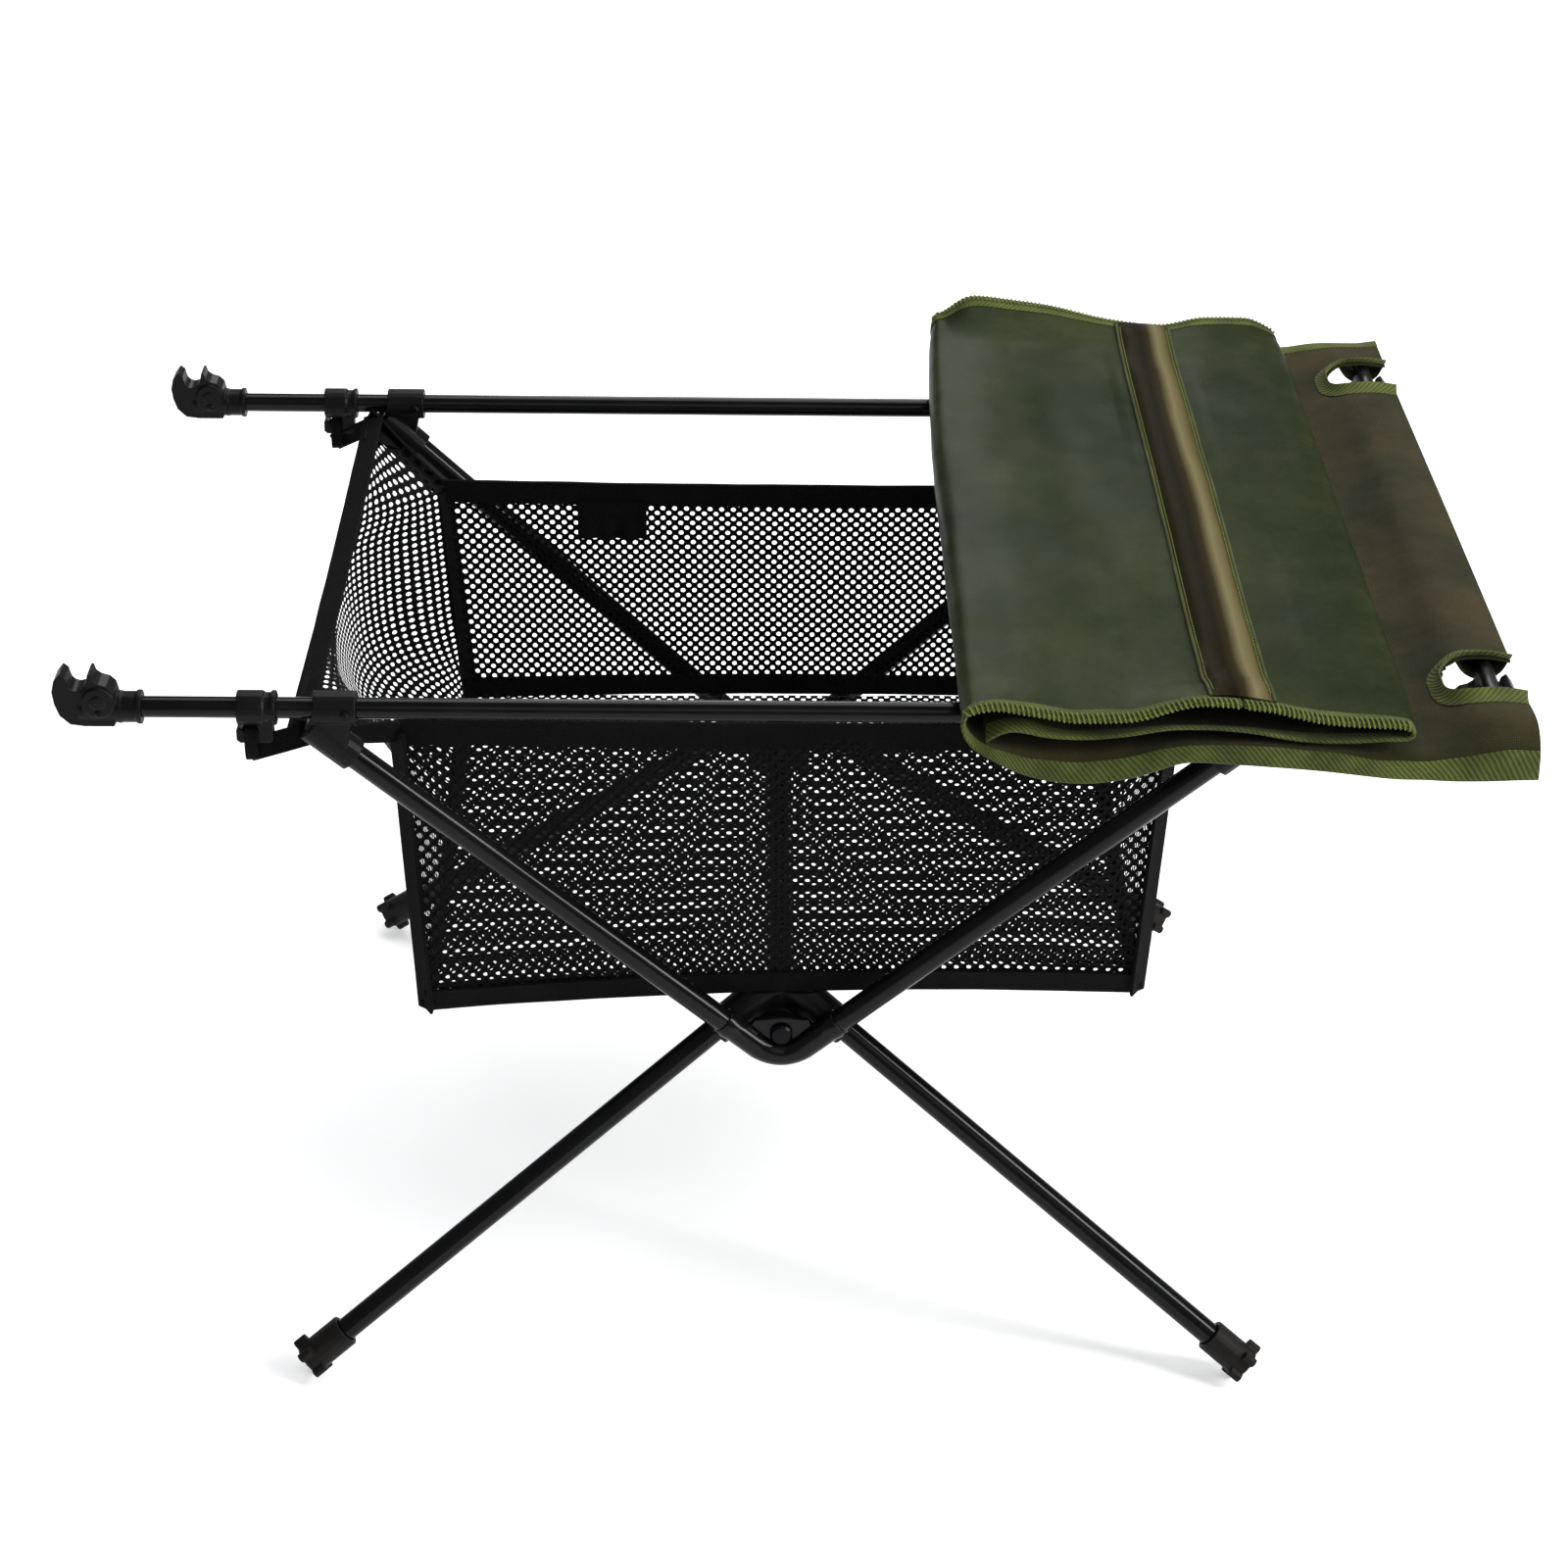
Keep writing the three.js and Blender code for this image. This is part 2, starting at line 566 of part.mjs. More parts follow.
function basketBody() {
  const parts = [box(
    -BASKET_FLOOR_X, BASKET_FLOOR_X,
    -BASKET_FLOOR_Y, BASKET_FLOOR_Y,
    BASKET_FLOOR_Z - BASKET_SKIN / 2, BASKET_FLOOR_Z + BASKET_SKIN / 2,
  )];
  const floorCorner = (sx, sy) => basketPoint(
    sx, sy, BASKET_FLOOR_X, BASKET_FLOOR_Y, BASKET_FLOOR_Z,
  );
  const hemCorner = (sx, sy) => basketPoint(sx, sy, BASKET_HEM_X, BASKET_HEM_Y, BASKET_HEM_Z);
  const hookCorner = (sx, sy) => basketPoint(
    sx, sy, BASKET_CORNER.x, BASKET_CORNER.y, BASKET_CORNER.z,
  );
  const crease = (sx, sy) => floorCorner(sx, sy).lerp(
    hemCorner(sx, sy),
    (BASKET_CREASE_Z - BASKET_FLOOR_Z) / (BASKET_HEM_Z - BASKET_FLOOR_Z),
  );
  for (const s of [-1, 1]) {
    parts.push(panel(
      [floorCorner(-1, s), floorCorner(1, s), hemCorner(1, s), hemCorner(-1, s)],
      BASKET_SKIN,
    ));
    parts.push(panel(
      [floorCorner(s, -1), floorCorner(s, 1), crease(s, 1), crease(s, -1)],
      BASKET_SKIN,
    ));
    parts.push(panel(
      [crease(s, -1), crease(s, 1), hookCorner(s, 1), hookCorner(s, -1)],
      BASKET_SKIN,
    ));
    for (const sy of [-1, 1]) {
      parts.push(panel([crease(s, sy), hemCorner(s, sy), hookCorner(s, sy)], BASKET_SKIN));
    }
  }
  const seams = [];
  for (const s of [-1, 1]) {
    seams.push([floorCorner(-1, s), floorCorner(1, s)]);
    seams.push([floorCorner(s, -1), floorCorner(s, 1)]);
    seams.push([hemCorner(-1, s), hemCorner(1, s)]);
    seams.push([hookCorner(s, -1), hookCorner(s, 1)]);
    for (const sy of [-1, 1]) {
      seams.push([floorCorner(s, sy), hemCorner(s, sy)]);
      seams.push([hemCorner(s, sy), hookCorner(s, sy)]);
    }
  }
  for (const [from, to] of seams) {
    const reach = to.clone().sub(from).normalize().multiplyScalar(0.9);
    parts.push(cylinder(from.clone().sub(reach), to.clone().add(reach), BINDING_R, 6));
  }
  return union(parts);
}

place('basket', basketBody(), 'net');

// Blank cloth tag hanging from the rear hem, inside the basket.
const wallLean = (BASKET_FLOOR_Y - BASKET_HEM_Y) / (BASKET_HEM_Z - BASKET_FLOOR_Z);

function labelCorner(x, z) {
  const y = BASKET_HEM_Y + (BASKET_HEM_Z - z) * wallLean - BINDING_R - 1;
  return new THREE.Vector3(x, y, z);
}

place('basket_label', panel([
  labelCorner(LABEL_X - LABEL_WIDTH / 2, 303),
  labelCorner(LABEL_X + LABEL_WIDTH / 2, 303),
  labelCorner(LABEL_X + LABEL_WIDTH / 2, 325),
  labelCorner(LABEL_X - LABEL_WIDTH / 2, 325),
], 0.8), 'webbing');

// ---------------------------------------------------------------- fabric top
// Points along the middle of a folded layer, turned into an outline of even thickness.
function sheetOutline(points) {
  const above = [];
  const below = [];
  for (let k = 0; k < points.length; k += 1) {
    const before = points[Math.max(0, k - 1)];
    const after = points[Math.min(points.length - 1, k + 1)];
    const dx = after[0] - before[0];
    const dz = after[1] - before[1];
    const length = Math.hypot(dx, dz);
    const nx = -dz / length * SHEET / 2;
    const nz = dx / length * SHEET / 2;
    above.push([points[k][0] + nx, points[k][1] + nz]);
    below.push([points[k][0] - nx, points[k][1] - nz]);
  }
  return below.concat(above.reverse());
}

// Part of a round fold, from angle `a` to angle `b` in degrees.
function arc(x, z, radius, a, b) {
  const points = [];
  const steps = Math.ceil(Math.abs(b - a) / 23);
  for (let k = 0; k <= steps; k += 1) {
    const angle = THREE.MathUtils.degToRad(a + (b - a) * k / steps);
    points.push([x + radius * Math.cos(angle), z + radius * Math.sin(angle)]);
  }
  return points;
}

function sheet(points) {
  return slabXZ(sheetOutline(points), -TOP_HALF_WIDTH, TOP_HALF_WIDTH);
}

// U-shaped opening around one claw, cut in from the fabric's end edge.
function clawCutout(sy) {
  const points = [];
  const inner = TOP_HALF_LENGTH - CUTOUT_DEPTH;
  const round = 16;
  const low = RAIL_Y - CUTOUT_HALF_WIDTH;
  const high = RAIL_Y + CUTOUT_HALF_WIDTH;
  points.push([TOP_HALF_LENGTH + 10, low]);
  points.push([TOP_HALF_LENGTH + 10, high]);
  for (let k = 0; k <= 4; k += 1) {
    const angle = Math.PI / 2 + Math.PI / 2 * k / 4;
    points.push([inner + round + round * Math.cos(angle), high - round + round * Math.sin(angle)]);
  }
  for (let k = 0; k <= 4; k += 1) {
    const angle = Math.PI + Math.PI / 2 * k / 4;
    points.push([inner + round + round * Math.cos(angle), low + round + round * Math.sin(angle)]);
  }
  const cut = slabXY(points, ROD_Z - 40, ROD_Z + 40);
  return mirrored(cut, 1, sy);
}

const foldMiddleZ = (UPPER_LAYER_Z + LOWER_LAYER_Z) / 2;
const innerFoldMiddleZ = (UPPER_LAYER_Z + INNER_LAYER_Z) / 2;
const FOLD_GAP_ANGLE = 2.2;   // each half of the left fold stops this far short of its middle

// Where a point of the far end lies once the top is rolled back.
function rolledBack(body) {
  return mirrored(body, -1, 1).translate([INNER_SHIFT_X, 0, INNER_SHIFT_Z]);
}

// Adds the hem rod's pocket to one end of the top and cuts the openings around the claws.
function withHem(layer, toPlace) {
  const front = new THREE.Vector3(ROD_X, -TOP_HALF_WIDTH, ROD_Z);
  const rear = new THREE.Vector3(ROD_X, TOP_HALF_WIDTH, ROD_Z);
  const bore = cylinder(
    front.clone().setY(-TOP_HALF_WIDTH - 5),
    rear.clone().setY(TOP_HALF_WIDTH + 5),
    ROD_R + GAP,
  );
  return layer.add(toPlace(cylinder(front, rear, POCKET_R)))
    .subtract(toPlace(bore))
    .subtract(toPlace(clawCutout(-1)))
    .subtract(toPlace(clawCutout(1)));
}

function lowerLayer() {
  const layer = sheet([
    ...arc(LEFT_FOLD_X, foldMiddleZ, LEFT_FOLD_R, 180 + FOLD_GAP_ANGLE, 270),
    [RISE_START_X, LOWER_LAYER_Z],
    [RISE_END_X, SHEET_OVER_ROD_Z],
    [TOP_HALF_LENGTH, SHEET_OVER_ROD_Z],
  ]);
  return withHem(layer, (body) => body);
}

// Upper layer, right-hand fold and the far end, which lies tucked between the layers.
function rolledLayer() {
  const layer = sheet([
    ...arc(LEFT_FOLD_X, foldMiddleZ, LEFT_FOLD_R, 180 - FOLD_GAP_ANGLE, 90),
    ...arc(RIGHT_FOLD_X, innerFoldMiddleZ, RIGHT_FOLD_R, 90, -90),
    [INNER_SHIFT_X - RISE_START_X, INNER_LAYER_Z],
    [INNER_SHIFT_X - RISE_END_X, SHEET_OVER_ROD_Z + INNER_SHIFT_Z],
    [INNER_SHIFT_X - TOP_HALF_LENGTH, SHEET_OVER_ROD_Z + INNER_SHIFT_Z],
  ]);
  return withHem(layer, rolledBack);
}

function hemRod() {
  return cylinder(
    new THREE.Vector3(ROD_X, -HEM_ROD_HALF, ROD_Z),
    new THREE.Vector3(ROD_X, HEM_ROD_HALF, ROD_Z),
    ROD_R,
  );
}

// Flat sleeve sewn across the coated side of the upper layer, with a batten inside it.
function sleeveBody() {
  const base = UPPER_LAYER_Z + SHEET / 2 + GAP;
  const half = SLEEVE_WIDTH / 2;
  const outer = slabXZ([
    [SLEEVE_X - half, base], [SLEEVE_X + half, base], [SLEEVE_X + half, base + 0.8],
    [SLEEVE_X + 11.5, base + SLEEVE_HEIGHT], [SLEEVE_X - 11.5, base + SLEEVE_HEIGHT],
    [SLEEVE_X - half, base + 0.8],
  ], -TOP_HALF_WIDTH, TOP_HALF_WIDTH);
  const inner = box(
    SLEEVE_X - 9.6, SLEEVE_X + 9.6,
    -TOP_HALF_WIDTH - 5, TOP_HALF_WIDTH + 5,
    base + 0.8, base + SLEEVE_HEIGHT - 0.8,
  );
  return outer.subtract(inner);
}

function battenBody() {
  const base = UPPER_LAYER_Z + SHEET / 2 + GAP + 0.8;
  return box(
    SLEEVE_X - 9.3, SLEEVE_X + 9.3,
    -TOP_HALF_WIDTH + 4, TOP_HALF_WIDTH - 4,
    base + GAP, base + SLEEVE_HEIGHT - 1.6 - GAP,
  );
}

place('top_lower', lowerLayer(), 'woven');
place('top_rolled', rolledLayer(), 'coated');
place('top_sleeve', sleeveBody(), 'strap');
place('top_batten', battenBody(), 'rod');
place('hem_rod_right', hemRod(), 'rod');
place('hem_rod_left', rolledBack(hemRod()), 'rod');

export default group;
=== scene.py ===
"""Folding camp table: pole frame, hung mesh basket, roll-up fabric top rolled back to one end.

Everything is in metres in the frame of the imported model: X along the rails, front towards -Y,
Z up from the floor. Lengths written as n * MM are millimetres.
"""
import math

import bmesh
import bpy
import numpy as np
from mathutils import Matrix, Vector, noise


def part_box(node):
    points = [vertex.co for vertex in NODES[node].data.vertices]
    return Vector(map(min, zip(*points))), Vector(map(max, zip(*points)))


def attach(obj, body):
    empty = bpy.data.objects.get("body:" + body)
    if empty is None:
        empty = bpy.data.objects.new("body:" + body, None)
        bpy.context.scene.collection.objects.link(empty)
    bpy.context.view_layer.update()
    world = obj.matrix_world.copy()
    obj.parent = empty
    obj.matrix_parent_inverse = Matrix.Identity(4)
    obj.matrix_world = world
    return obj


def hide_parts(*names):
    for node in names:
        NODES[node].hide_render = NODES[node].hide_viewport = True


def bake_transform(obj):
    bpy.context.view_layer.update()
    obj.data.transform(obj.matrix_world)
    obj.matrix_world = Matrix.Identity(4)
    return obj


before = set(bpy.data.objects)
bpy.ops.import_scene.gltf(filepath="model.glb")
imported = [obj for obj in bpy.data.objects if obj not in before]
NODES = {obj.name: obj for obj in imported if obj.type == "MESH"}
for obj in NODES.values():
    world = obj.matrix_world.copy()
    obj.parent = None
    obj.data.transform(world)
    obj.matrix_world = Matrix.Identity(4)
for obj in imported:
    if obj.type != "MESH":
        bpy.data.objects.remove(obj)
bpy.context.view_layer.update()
MM = 0.001
STRAP_WIDTH = 34 * MM


def linked(name, data):
    """A new object in the scene for a mesh, light or camera."""
    made = bpy.data.objects.new(name, data)
    bpy.context.collection.objects.link(made)
    return made


def middle_of(node):
    """Middle of a CAD node's box."""
    return [(a + b) / 2 for a, b in zip(*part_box(node))]


# ------------------------------------------------------------------ camera, light, floor
def make_camera():
    """A long lens just left of straight ahead, looking down on the table."""
    azimuth, elevation, roll = math.radians(-0.77), math.radians(29.44), math.radians(0.79)
    target, distance = Vector((0.00191, 0, 0.2244)), 1.764
    forward = Vector((
        -math.sin(azimuth) * math.cos(elevation),
        math.cos(azimuth) * math.cos(elevation),
        -math.sin(elevation),
    ))
    level = Vector((math.cos(azimuth), math.sin(azimuth), 0))
    upward = level.cross(forward)
    right = math.cos(roll) * level + math.sin(roll) * upward
    up = -math.sin(roll) * level + math.cos(roll) * upward
    camera = linked("camera", bpy.data.cameras.new("camera"))
    camera.data.lens = 76.5
    camera.data.sensor_width = 36
    camera.data.clip_start, camera.data.clip_end = 0.05, 50
    turn = Matrix((right, up, -forward)).transposed().to_4x4()
    camera.matrix_world = Matrix.Translation(target - forward * distance) @ turn
    bpy.context.scene.camera = camera


def make_light(name, place, target, size, power):
    data = bpy.data.lights.new(name, "AREA")
    data.shape = "RECTANGLE"
    data.size, data.size_y = size
    data.energy = power
    lamp = linked(name, data)
    lamp.location = place
    lamp.rotation_mode = "QUATERNION"
    lamp.rotation_quaternion = (Vector(target) - Vector(place)).to_track_quat("-Z", "Y")


def make_room():
    world = bpy.data.worlds.new("studio")
    world.use_nodes = True
    sky = world.node_tree.nodes["Background"].inputs
    sky["Color"].default_value = (0.93, 0.96, 1, 1)
    sky["Strength"].default_value = 0.26
    bpy.context.scene.world = world
    table = (0, 0, 0.2)
    make_light("softbox_top", (0.5, 0.9, 2.5), table, (2.8, 1.8), 58)
    make_light("strip_right", (1.75, -0.8, 1.2), table, (0.5, 1.7), 50)
    make_light("glow_rear", (0.0, 2.5, 1.6), (0.1, 0, 0.38), (0.7, 0.5), 9)
    make_light("fill_front", (0.6, -2.6, 2.2), table, (2.4, 1.6), 12)
    bpy.ops.mesh.primitive_plane_add(size=14, location=(0, 0, 0))
    floor = bpy.context.object
    floor.name = "floor"
    finish = Finish("floor", (0.9, 0.9, 0.9), 0.9, 0.1)
    finish.set("Emission Color", (1, 1, 1, 1))
    finish.set("Emission Strength", 0.42)
    floor.data.materials.append(finish.material)
    bpy.context.scene.view_settings.view_transform = "Standard"


# ------------------------------------------------------------------ materials
class Finish:
    """A Principled material built from noise and wave nodes, driven by real-size UVs or places."""

    def __init__(self, name, colour, roughness, specular=0.5, metallic=0.0, sheen=0.0):
        self.material = bpy.data.materials.new(name)
        self.material.use_nodes = True
        self.tree = self.material.node_tree
        self.shader = self.tree.nodes["Principled BSDF"]
        self.bumps = None
        self.set("Base Color", (*colour, 1))
        self.set("Roughness", roughness)
        self.set("Specular IOR Level", specular)
        self.set("Metallic", metallic)
        self.set("Sheen Weight", sheen)

    def set(self, socket, value):
        self.shader.inputs[socket].default_value = value

    def node(self, kind, **inputs):
        made = self.tree.nodes.new(kind)
        for key, value in inputs.items():
            self.join(value, made.inputs[key])
        return made

    def join(self, value, socket):
        if isinstance(value, bpy.types.NodeSocket):
            self.tree.links.new(value, socket)
        else:
            socket.default_value = value

    def mapped(self, source, scale, turn):
        made = self.node("ShaderNodeMapping", Vector=source, Rotation=(0, 0, turn), Scale=scale)
        return made.outputs["Vector"]

    def place(self, scale=(1, 1, 1), turn=0.0, uv=False):
        """Coordinates in metres times scale: along the cloth if uv, else in the object's frame."""
        if uv:
            source = self.node("ShaderNodeUVMap")
            source.uv_map = "real"
            return self.mapped(source.outputs["UV"], scale, turn)
        return self.mapped(self.node("ShaderNodeTexCoord").outputs["Object"], scale, turn)

    def computed(self, kind, operation, inputs):
        made = self.tree.nodes.new(kind)
        made.operation = operation
        for value, socket in zip(inputs, made.inputs):
            self.join(value, socket)
        return made.outputs

    def math(self, operation, *inputs):
        return self.computed("ShaderNodeMath", operation, inputs)[0]

    def vector(self, operation, *inputs):
        made = self.computed("ShaderNodeVectorMath", operation, inputs)
        return made["Value" if operation == "LENGTH" else "Vector"]

    def noise(self, scale, detail=3.0, roughness=0.55, where=None):
        where = self.place() if where is None else where
        made = self.node("ShaderNodeTexNoise", Vector=where, Scale=scale, Detail=detail, Roughness=roughness)
        return made.outputs["Fac"]

    def wave(self, where, scale, distortion=0.0, direction="X"):
        made = self.node("ShaderNodeTexWave", Vector=where, Scale=scale, Distortion=distortion)
        made.bands_direction = direction
        return made.outputs["Fac"]

    def ramp(self, factor, *stops):
        made = self.node("ShaderNodeValToRGB", Fac=factor)
        elements = made.color_ramp.elements
        while len(elements) < len(stops):
            elements.new(0.5)
        for element, (position, colour) in zip(elements, stops):
            element.position = position
            element.color = (*colour, 1)
        return made.outputs["Color"]

    def paint(self, tone, *shades, strength=1.0):
        """Base colour: a tone multiplied by each shade in turn."""
        for shade in shades:
            made = self.tree.nodes.new("ShaderNodeMix")
            made.data_type = "RGBA"
            made.blend_type = "MULTIPLY"
            self.join(strength, made.inputs["Factor"])
            self.join(tone, made.inputs[6])
            self.join(shade, made.inputs[7])
            tone = made.outputs[2]
        self.join(tone, self.shader.inputs["Base Color"])

    def bump(self, height, distance, strength=1.0):
        """Adds one layer of bump on top of the layers before it."""
        made = self.node("ShaderNodeBump", Height=height, Distance=distance, Strength=strength)
        if self.bumps is not None:
            self.join(self.bumps, made.inputs["Normal"])
        self.bumps = made.outputs["Normal"]
        self.join(self.bumps, self.shader.inputs["Normal"])

    def roughness_from(self, factor, low, high):
        made = self.node("ShaderNodeMapRange", Value=factor)
        made.inputs["To Min"].default_value = low
        made.inputs["To Max"].default_value = high
        self.join(made.outputs["Result"], self.shader.inputs["Roughness"])

    def weave(self, pitch, turn=0.0, depth=0.12):
        """Plain weave: two crossed sets of threads, each dipping under the other in turn."""
        waves = [self.wave(self.place((1 / pitch,) * 3, turn + extra, True), 0.314)
                 for extra in (0.0, math.pi / 2)]
        high = self.math("MAXIMUM", *waves)
        self.bump(high, depth * MM)
        return high


def painted_pole():
    f = Finish("pole_black", (0.003, 0.0031, 0.0034), 0.2, 0.15)
    f.roughness_from(f.noise(90, 4), 0.13, 0.19)
    f.paint(f.ramp(f.noise(35, 4), (0.35, (0.0022, 0.0023, 0.0025)), (0.7, (0.0045, 0.0046, 0.005))))
    f.bump(f.noise(900, 2), 0.002 * MM)
    return f.material


def moulded(name, colour, roughness, specular=0.4):
    f = Finish(name, colour, roughness, specular)
    blotch = f.noise(120, 3)
    f.paint(f.ramp(blotch, (0.3, colour), (0.75, tuple(c * 1.6 for c in colour))))
    f.roughness_from(blotch, roughness - 0.06, roughness + 0.1)
    f.bump(f.noise(2600, 2), 0.03 * MM)
    return f.material


def rivet_metal():
    f = Finish("rivet_metal", (0.010, 0.010, 0.011), 0.35, metallic=1.0)
    f.roughness_from(f.noise(400, 3), 0.25, 0.5)
    f.bump(f.noise(1500, 2), 0.02 * MM)
    return f.material


def drawn_rod():
    f = Finish("rod_metal", (0.05, 0.05, 0.052), 0.35, metallic=1.0)
    f.roughness_from(f.noise(60, 4, where=f.place((8, 1, 8))), 0.28, 0.5)
    f.bump(f.noise(300, 2, where=f.place((6, 0.4, 6))), 0.02 * MM)
    return f.material


def coated_fabric():
    f = Finish("coated_fabric", (0.012, 0.016, 0.005), 0.4, 0.05)
    f.set("Specular Tint", (0.8, 1, 0.6, 1))
    tone = f.ramp(f.noise(11, 4, 0.6), (0.3, (0.0070, 0.0106, 0.0028)),
                  (0.5, (0.0155, 0.0200, 0.0062)), (0.68, (0.0270, 0.0325, 0.0118)))
    speckle = f.ramp(f.noise(260, 3), (0.3, (0.8, 0.8, 0.78)), (0.7, (1.12, 1.1, 1.08)))
    f.paint(tone, speckle, strength=0.8)
    f.roughness_from(f.noise(28, 4), 0.34, 0.44)
    f.weave(0.62 * MM, depth=0.03)
    f.bump(f.noise(12, 2, 0.45), 8.0 * MM, 0.8)
    f.bump(f.noise(60, 3, 0.5), 0.4 * MM, 0.6)
    return f.material


def woven_fabric():
    f = Finish("woven_fabric", (0.05, 0.045, 0.022), 0.8, 0.1, sheen=0.03)
    f.set("Sheen Roughness", 0.5)
    tone = f.ramp(f.noise(16, 4, 0.6), (0.32, (0.011, 0.0135, 0.0038)),
                  (0.5, (0.023, 0.0205, 0.0068)), (0.7, (0.037, 0.0275, 0.0098)))
    threads = f.weave(0.85 * MM, depth=0.16)
    shade = f.ramp(threads, (0.2, (0.62, 0.62, 0.6)), (0.8, (1.15, 1.15, 1.1)))
    streaks = f.noise(700, 2, where=f.place((1, 6, 1), uv=True))
    f.paint(tone, shade, f.ramp(streaks, (0.3, (0.8, 0.8, 0.8)), (0.7, (1.2, 1.18, 1.1))))
    f.bump(f.noise(18, 3, 0.5), 7.0 * MM, 0.8)
    return f.material


def edge_tape(name, low, high):
    f = Finish(name, high, 0.75, 0.15, sheen=0.04)
    ribs = f.wave(f.place((1 / MM, 1 / MM, 1), uv=True), 0.24, 1.2, "DIAGONAL")
    tone = f.ramp(f.noise(45, 4), (0.3, low), (0.72, high))
    f.paint(tone, f.ramp(ribs, (0.1, (0.62, 0.62, 0.6)), (0.8, (1.1, 1.1, 1.05))))
    f.bump(ribs, 0.22 * MM)
    f.bump(f.noise(900, 2), 0.12 * MM)
    return f.material


def thread(name, colour):
    f = Finish(name, colour, 0.65, 0.2, sheen=0.05)
    f.paint(f.ramp(f.noise(500, 2), (0.3, tuple(c * 0.55 for c in colour)), (0.65, colour)))
    f.bump(f.wave(f.place((1 / MM, 1 / MM, 1), uv=True), 0.9, direction="DIAGONAL"), 0.08 * MM)
    return f.material


def satin_strap():
    """Ribbed satin with light painted into its colour: painted shade along one half and a gold painted
    highlight along the other.
    """
    f = Finish("satin_strap", (0.05, 0.036, 0.014), 0.34, 0.02, sheen=0.01)
    f.set("Specular Tint", (1.0, 0.8, 0.5, 1))
    f.set("Sheen Tint", (0.9, 0.75, 0.45, 1))
    ribs = f.wave(f.place((1 / MM, 1 / MM, 1), math.pi / 2, True), 0.42)
    across = f.node("ShaderNodeSeparateXYZ", Vector=f.place((1 / STRAP_WIDTH, 1, 1), uv=True)).outputs["X"]
    patch = f.noise(30, 4, where=f.place((1, 0.25, 1)))
    # Place across the strap, wobbled by noise, that sets the painted shade and painted highlight below:
    # darkest at 0.36 of the width, gold painted highlight at 0.64.
    painted_light_across = f.math("ADD", across, f.math("MULTIPLY", f.math("SUBTRACT", patch, 0.5), 0.14))
    tone = f.ramp(
        painted_light_across, (0.04, (0.018, 0.014, 0.0045)), (0.36, (0.0052, 0.0038, 0.0010)),
        (0.5, (0.022, 0.017, 0.006)), (0.64, (0.150, 0.130, 0.066)),
        (0.8, (0.072, 0.060, 0.024)), (0.97, (0.032, 0.025, 0.009)),
    )
    f.paint(tone, f.ramp(ribs, (0.1, (0.72, 0.7, 0.66)), (0.85, (1.1, 1.1, 1.05))))
    f.roughness_from(f.noise(60, 3), 0.26, 0.38)
    f.bump(ribs, 0.1 * MM)
    f.bump(f.noise(26, 3), 0.7 * MM, 0.6)
    return f.material


def black_webbing():
    f = Finish("black_webbing", (0.004, 0.004, 0.0042), 0.7, 0.05)
    threads = f.weave(1.1 * MM, math.pi / 4, 0.25)
    tone = f.ramp(threads, (0.2, (0.0015, 0.0015, 0.0016)), (0.85, (0.0045, 0.0045, 0.0048)))
    f.paint(tone, f.ramp(f.noise(60, 4), (0.4, (0.9, 0.9, 0.9)), (0.75, (1.35, 1.35, 1.4))))
    return f.material


def net_fabric(name, pitch, radius, turn):
    """Knitted net: round holes on a square grid, ridged yarn between them, clear through the holes."""
    f = Finish(name, (0.004, 0.004, 0.0042), 0.6, 0.06)
    cloth = f.place(uv=True)
    warp = f.node("ShaderNodeTexNoise", Vector=cloth, Scale=30.0, Detail=2.0).outputs["Color"]
    shifted = f.vector("MULTIPLY_ADD", warp, (1.2 * MM,) * 3, cloth)
    cell = f.vector("FRACTION", f.mapped(shifted, (1 / pitch, 1 / pitch, 0), turn))
    reach = f.vector("LENGTH", f.vector("SUBTRACT", cell, (0.5, 0.5, 0)))
    uneven = f.math("MULTIPLY", f.noise(900, 1, where=cloth), 0.06)
    solid = f.math("GREATER_THAN", f.math("ADD", reach, uneven), radius / pitch + 0.03)
    f.join(solid, f.shader.inputs["Alpha"])
    f.bump(f.math("SINE", f.math("MULTIPLY", reach, 5.0)), 0.5 * MM)
    f.bump(f.noise(2500, 2), 0.1 * MM)
    f.paint(f.ramp(reach, (0.3, (0.0045, 0.0045, 0.0048)), (0.62, (0.0018, 0.0018, 0.002))))
    return f.material


# ------------------------------------------------------------------ mesh helpers
def build(name, vertices, faces, materials, uvs, slots=None):
    """A mesh piece from plain lists. slots gives each face's material, uvs each vertex's cloth place."""
    mesh = bpy.data.meshes.new(name)
    mesh.from_pydata([tuple(map(float, v)) for v in vertices], [], [tuple(map(int, f)) for f in faces])
    for m in materials:
        mesh.materials.append(m)
    if slots is not None:
        mesh.polygons.foreach_set("material_index", np.asarray(slots, dtype=np.int32))
    layer = mesh.uv_layers.new(name="real")
    index = np.zeros(len(mesh.loops), dtype=np.int32)
    mesh.loops.foreach_get("vertex_index", index)
    layer.data.foreach_set("uv", np.asarray(uvs, dtype=np.float32)[index].ravel())
    mesh.polygons.foreach_set("use_smooth", np.full(len(mesh.polygons), True))
    mesh.set_sharp_from_angle(angle=math.radians(40))
    mesh.update()
    return linked(name, mesh)


class Parts:
    """Collects many small shapes into one mesh."""

    def __init__(self):
        self.vertices, self.faces, self.slots, self.uvs = [], [], [], []

    def add(self, vertices, faces, slot=0, uvs=None):
        start = len(self.vertices)
        self.vertices.extend(vertices)
        self.faces.extend([tuple(i + start for i in f) for f in faces])
        self.slots.extend([slot] * len(faces))
        self.uvs.extend(uvs if uvs is not None else [(0.0, 0.0)] * len(vertices))

    def build(self, name, materials):
        return build(name, self.vertices, self.faces, materials, self.uvs, self.slots)


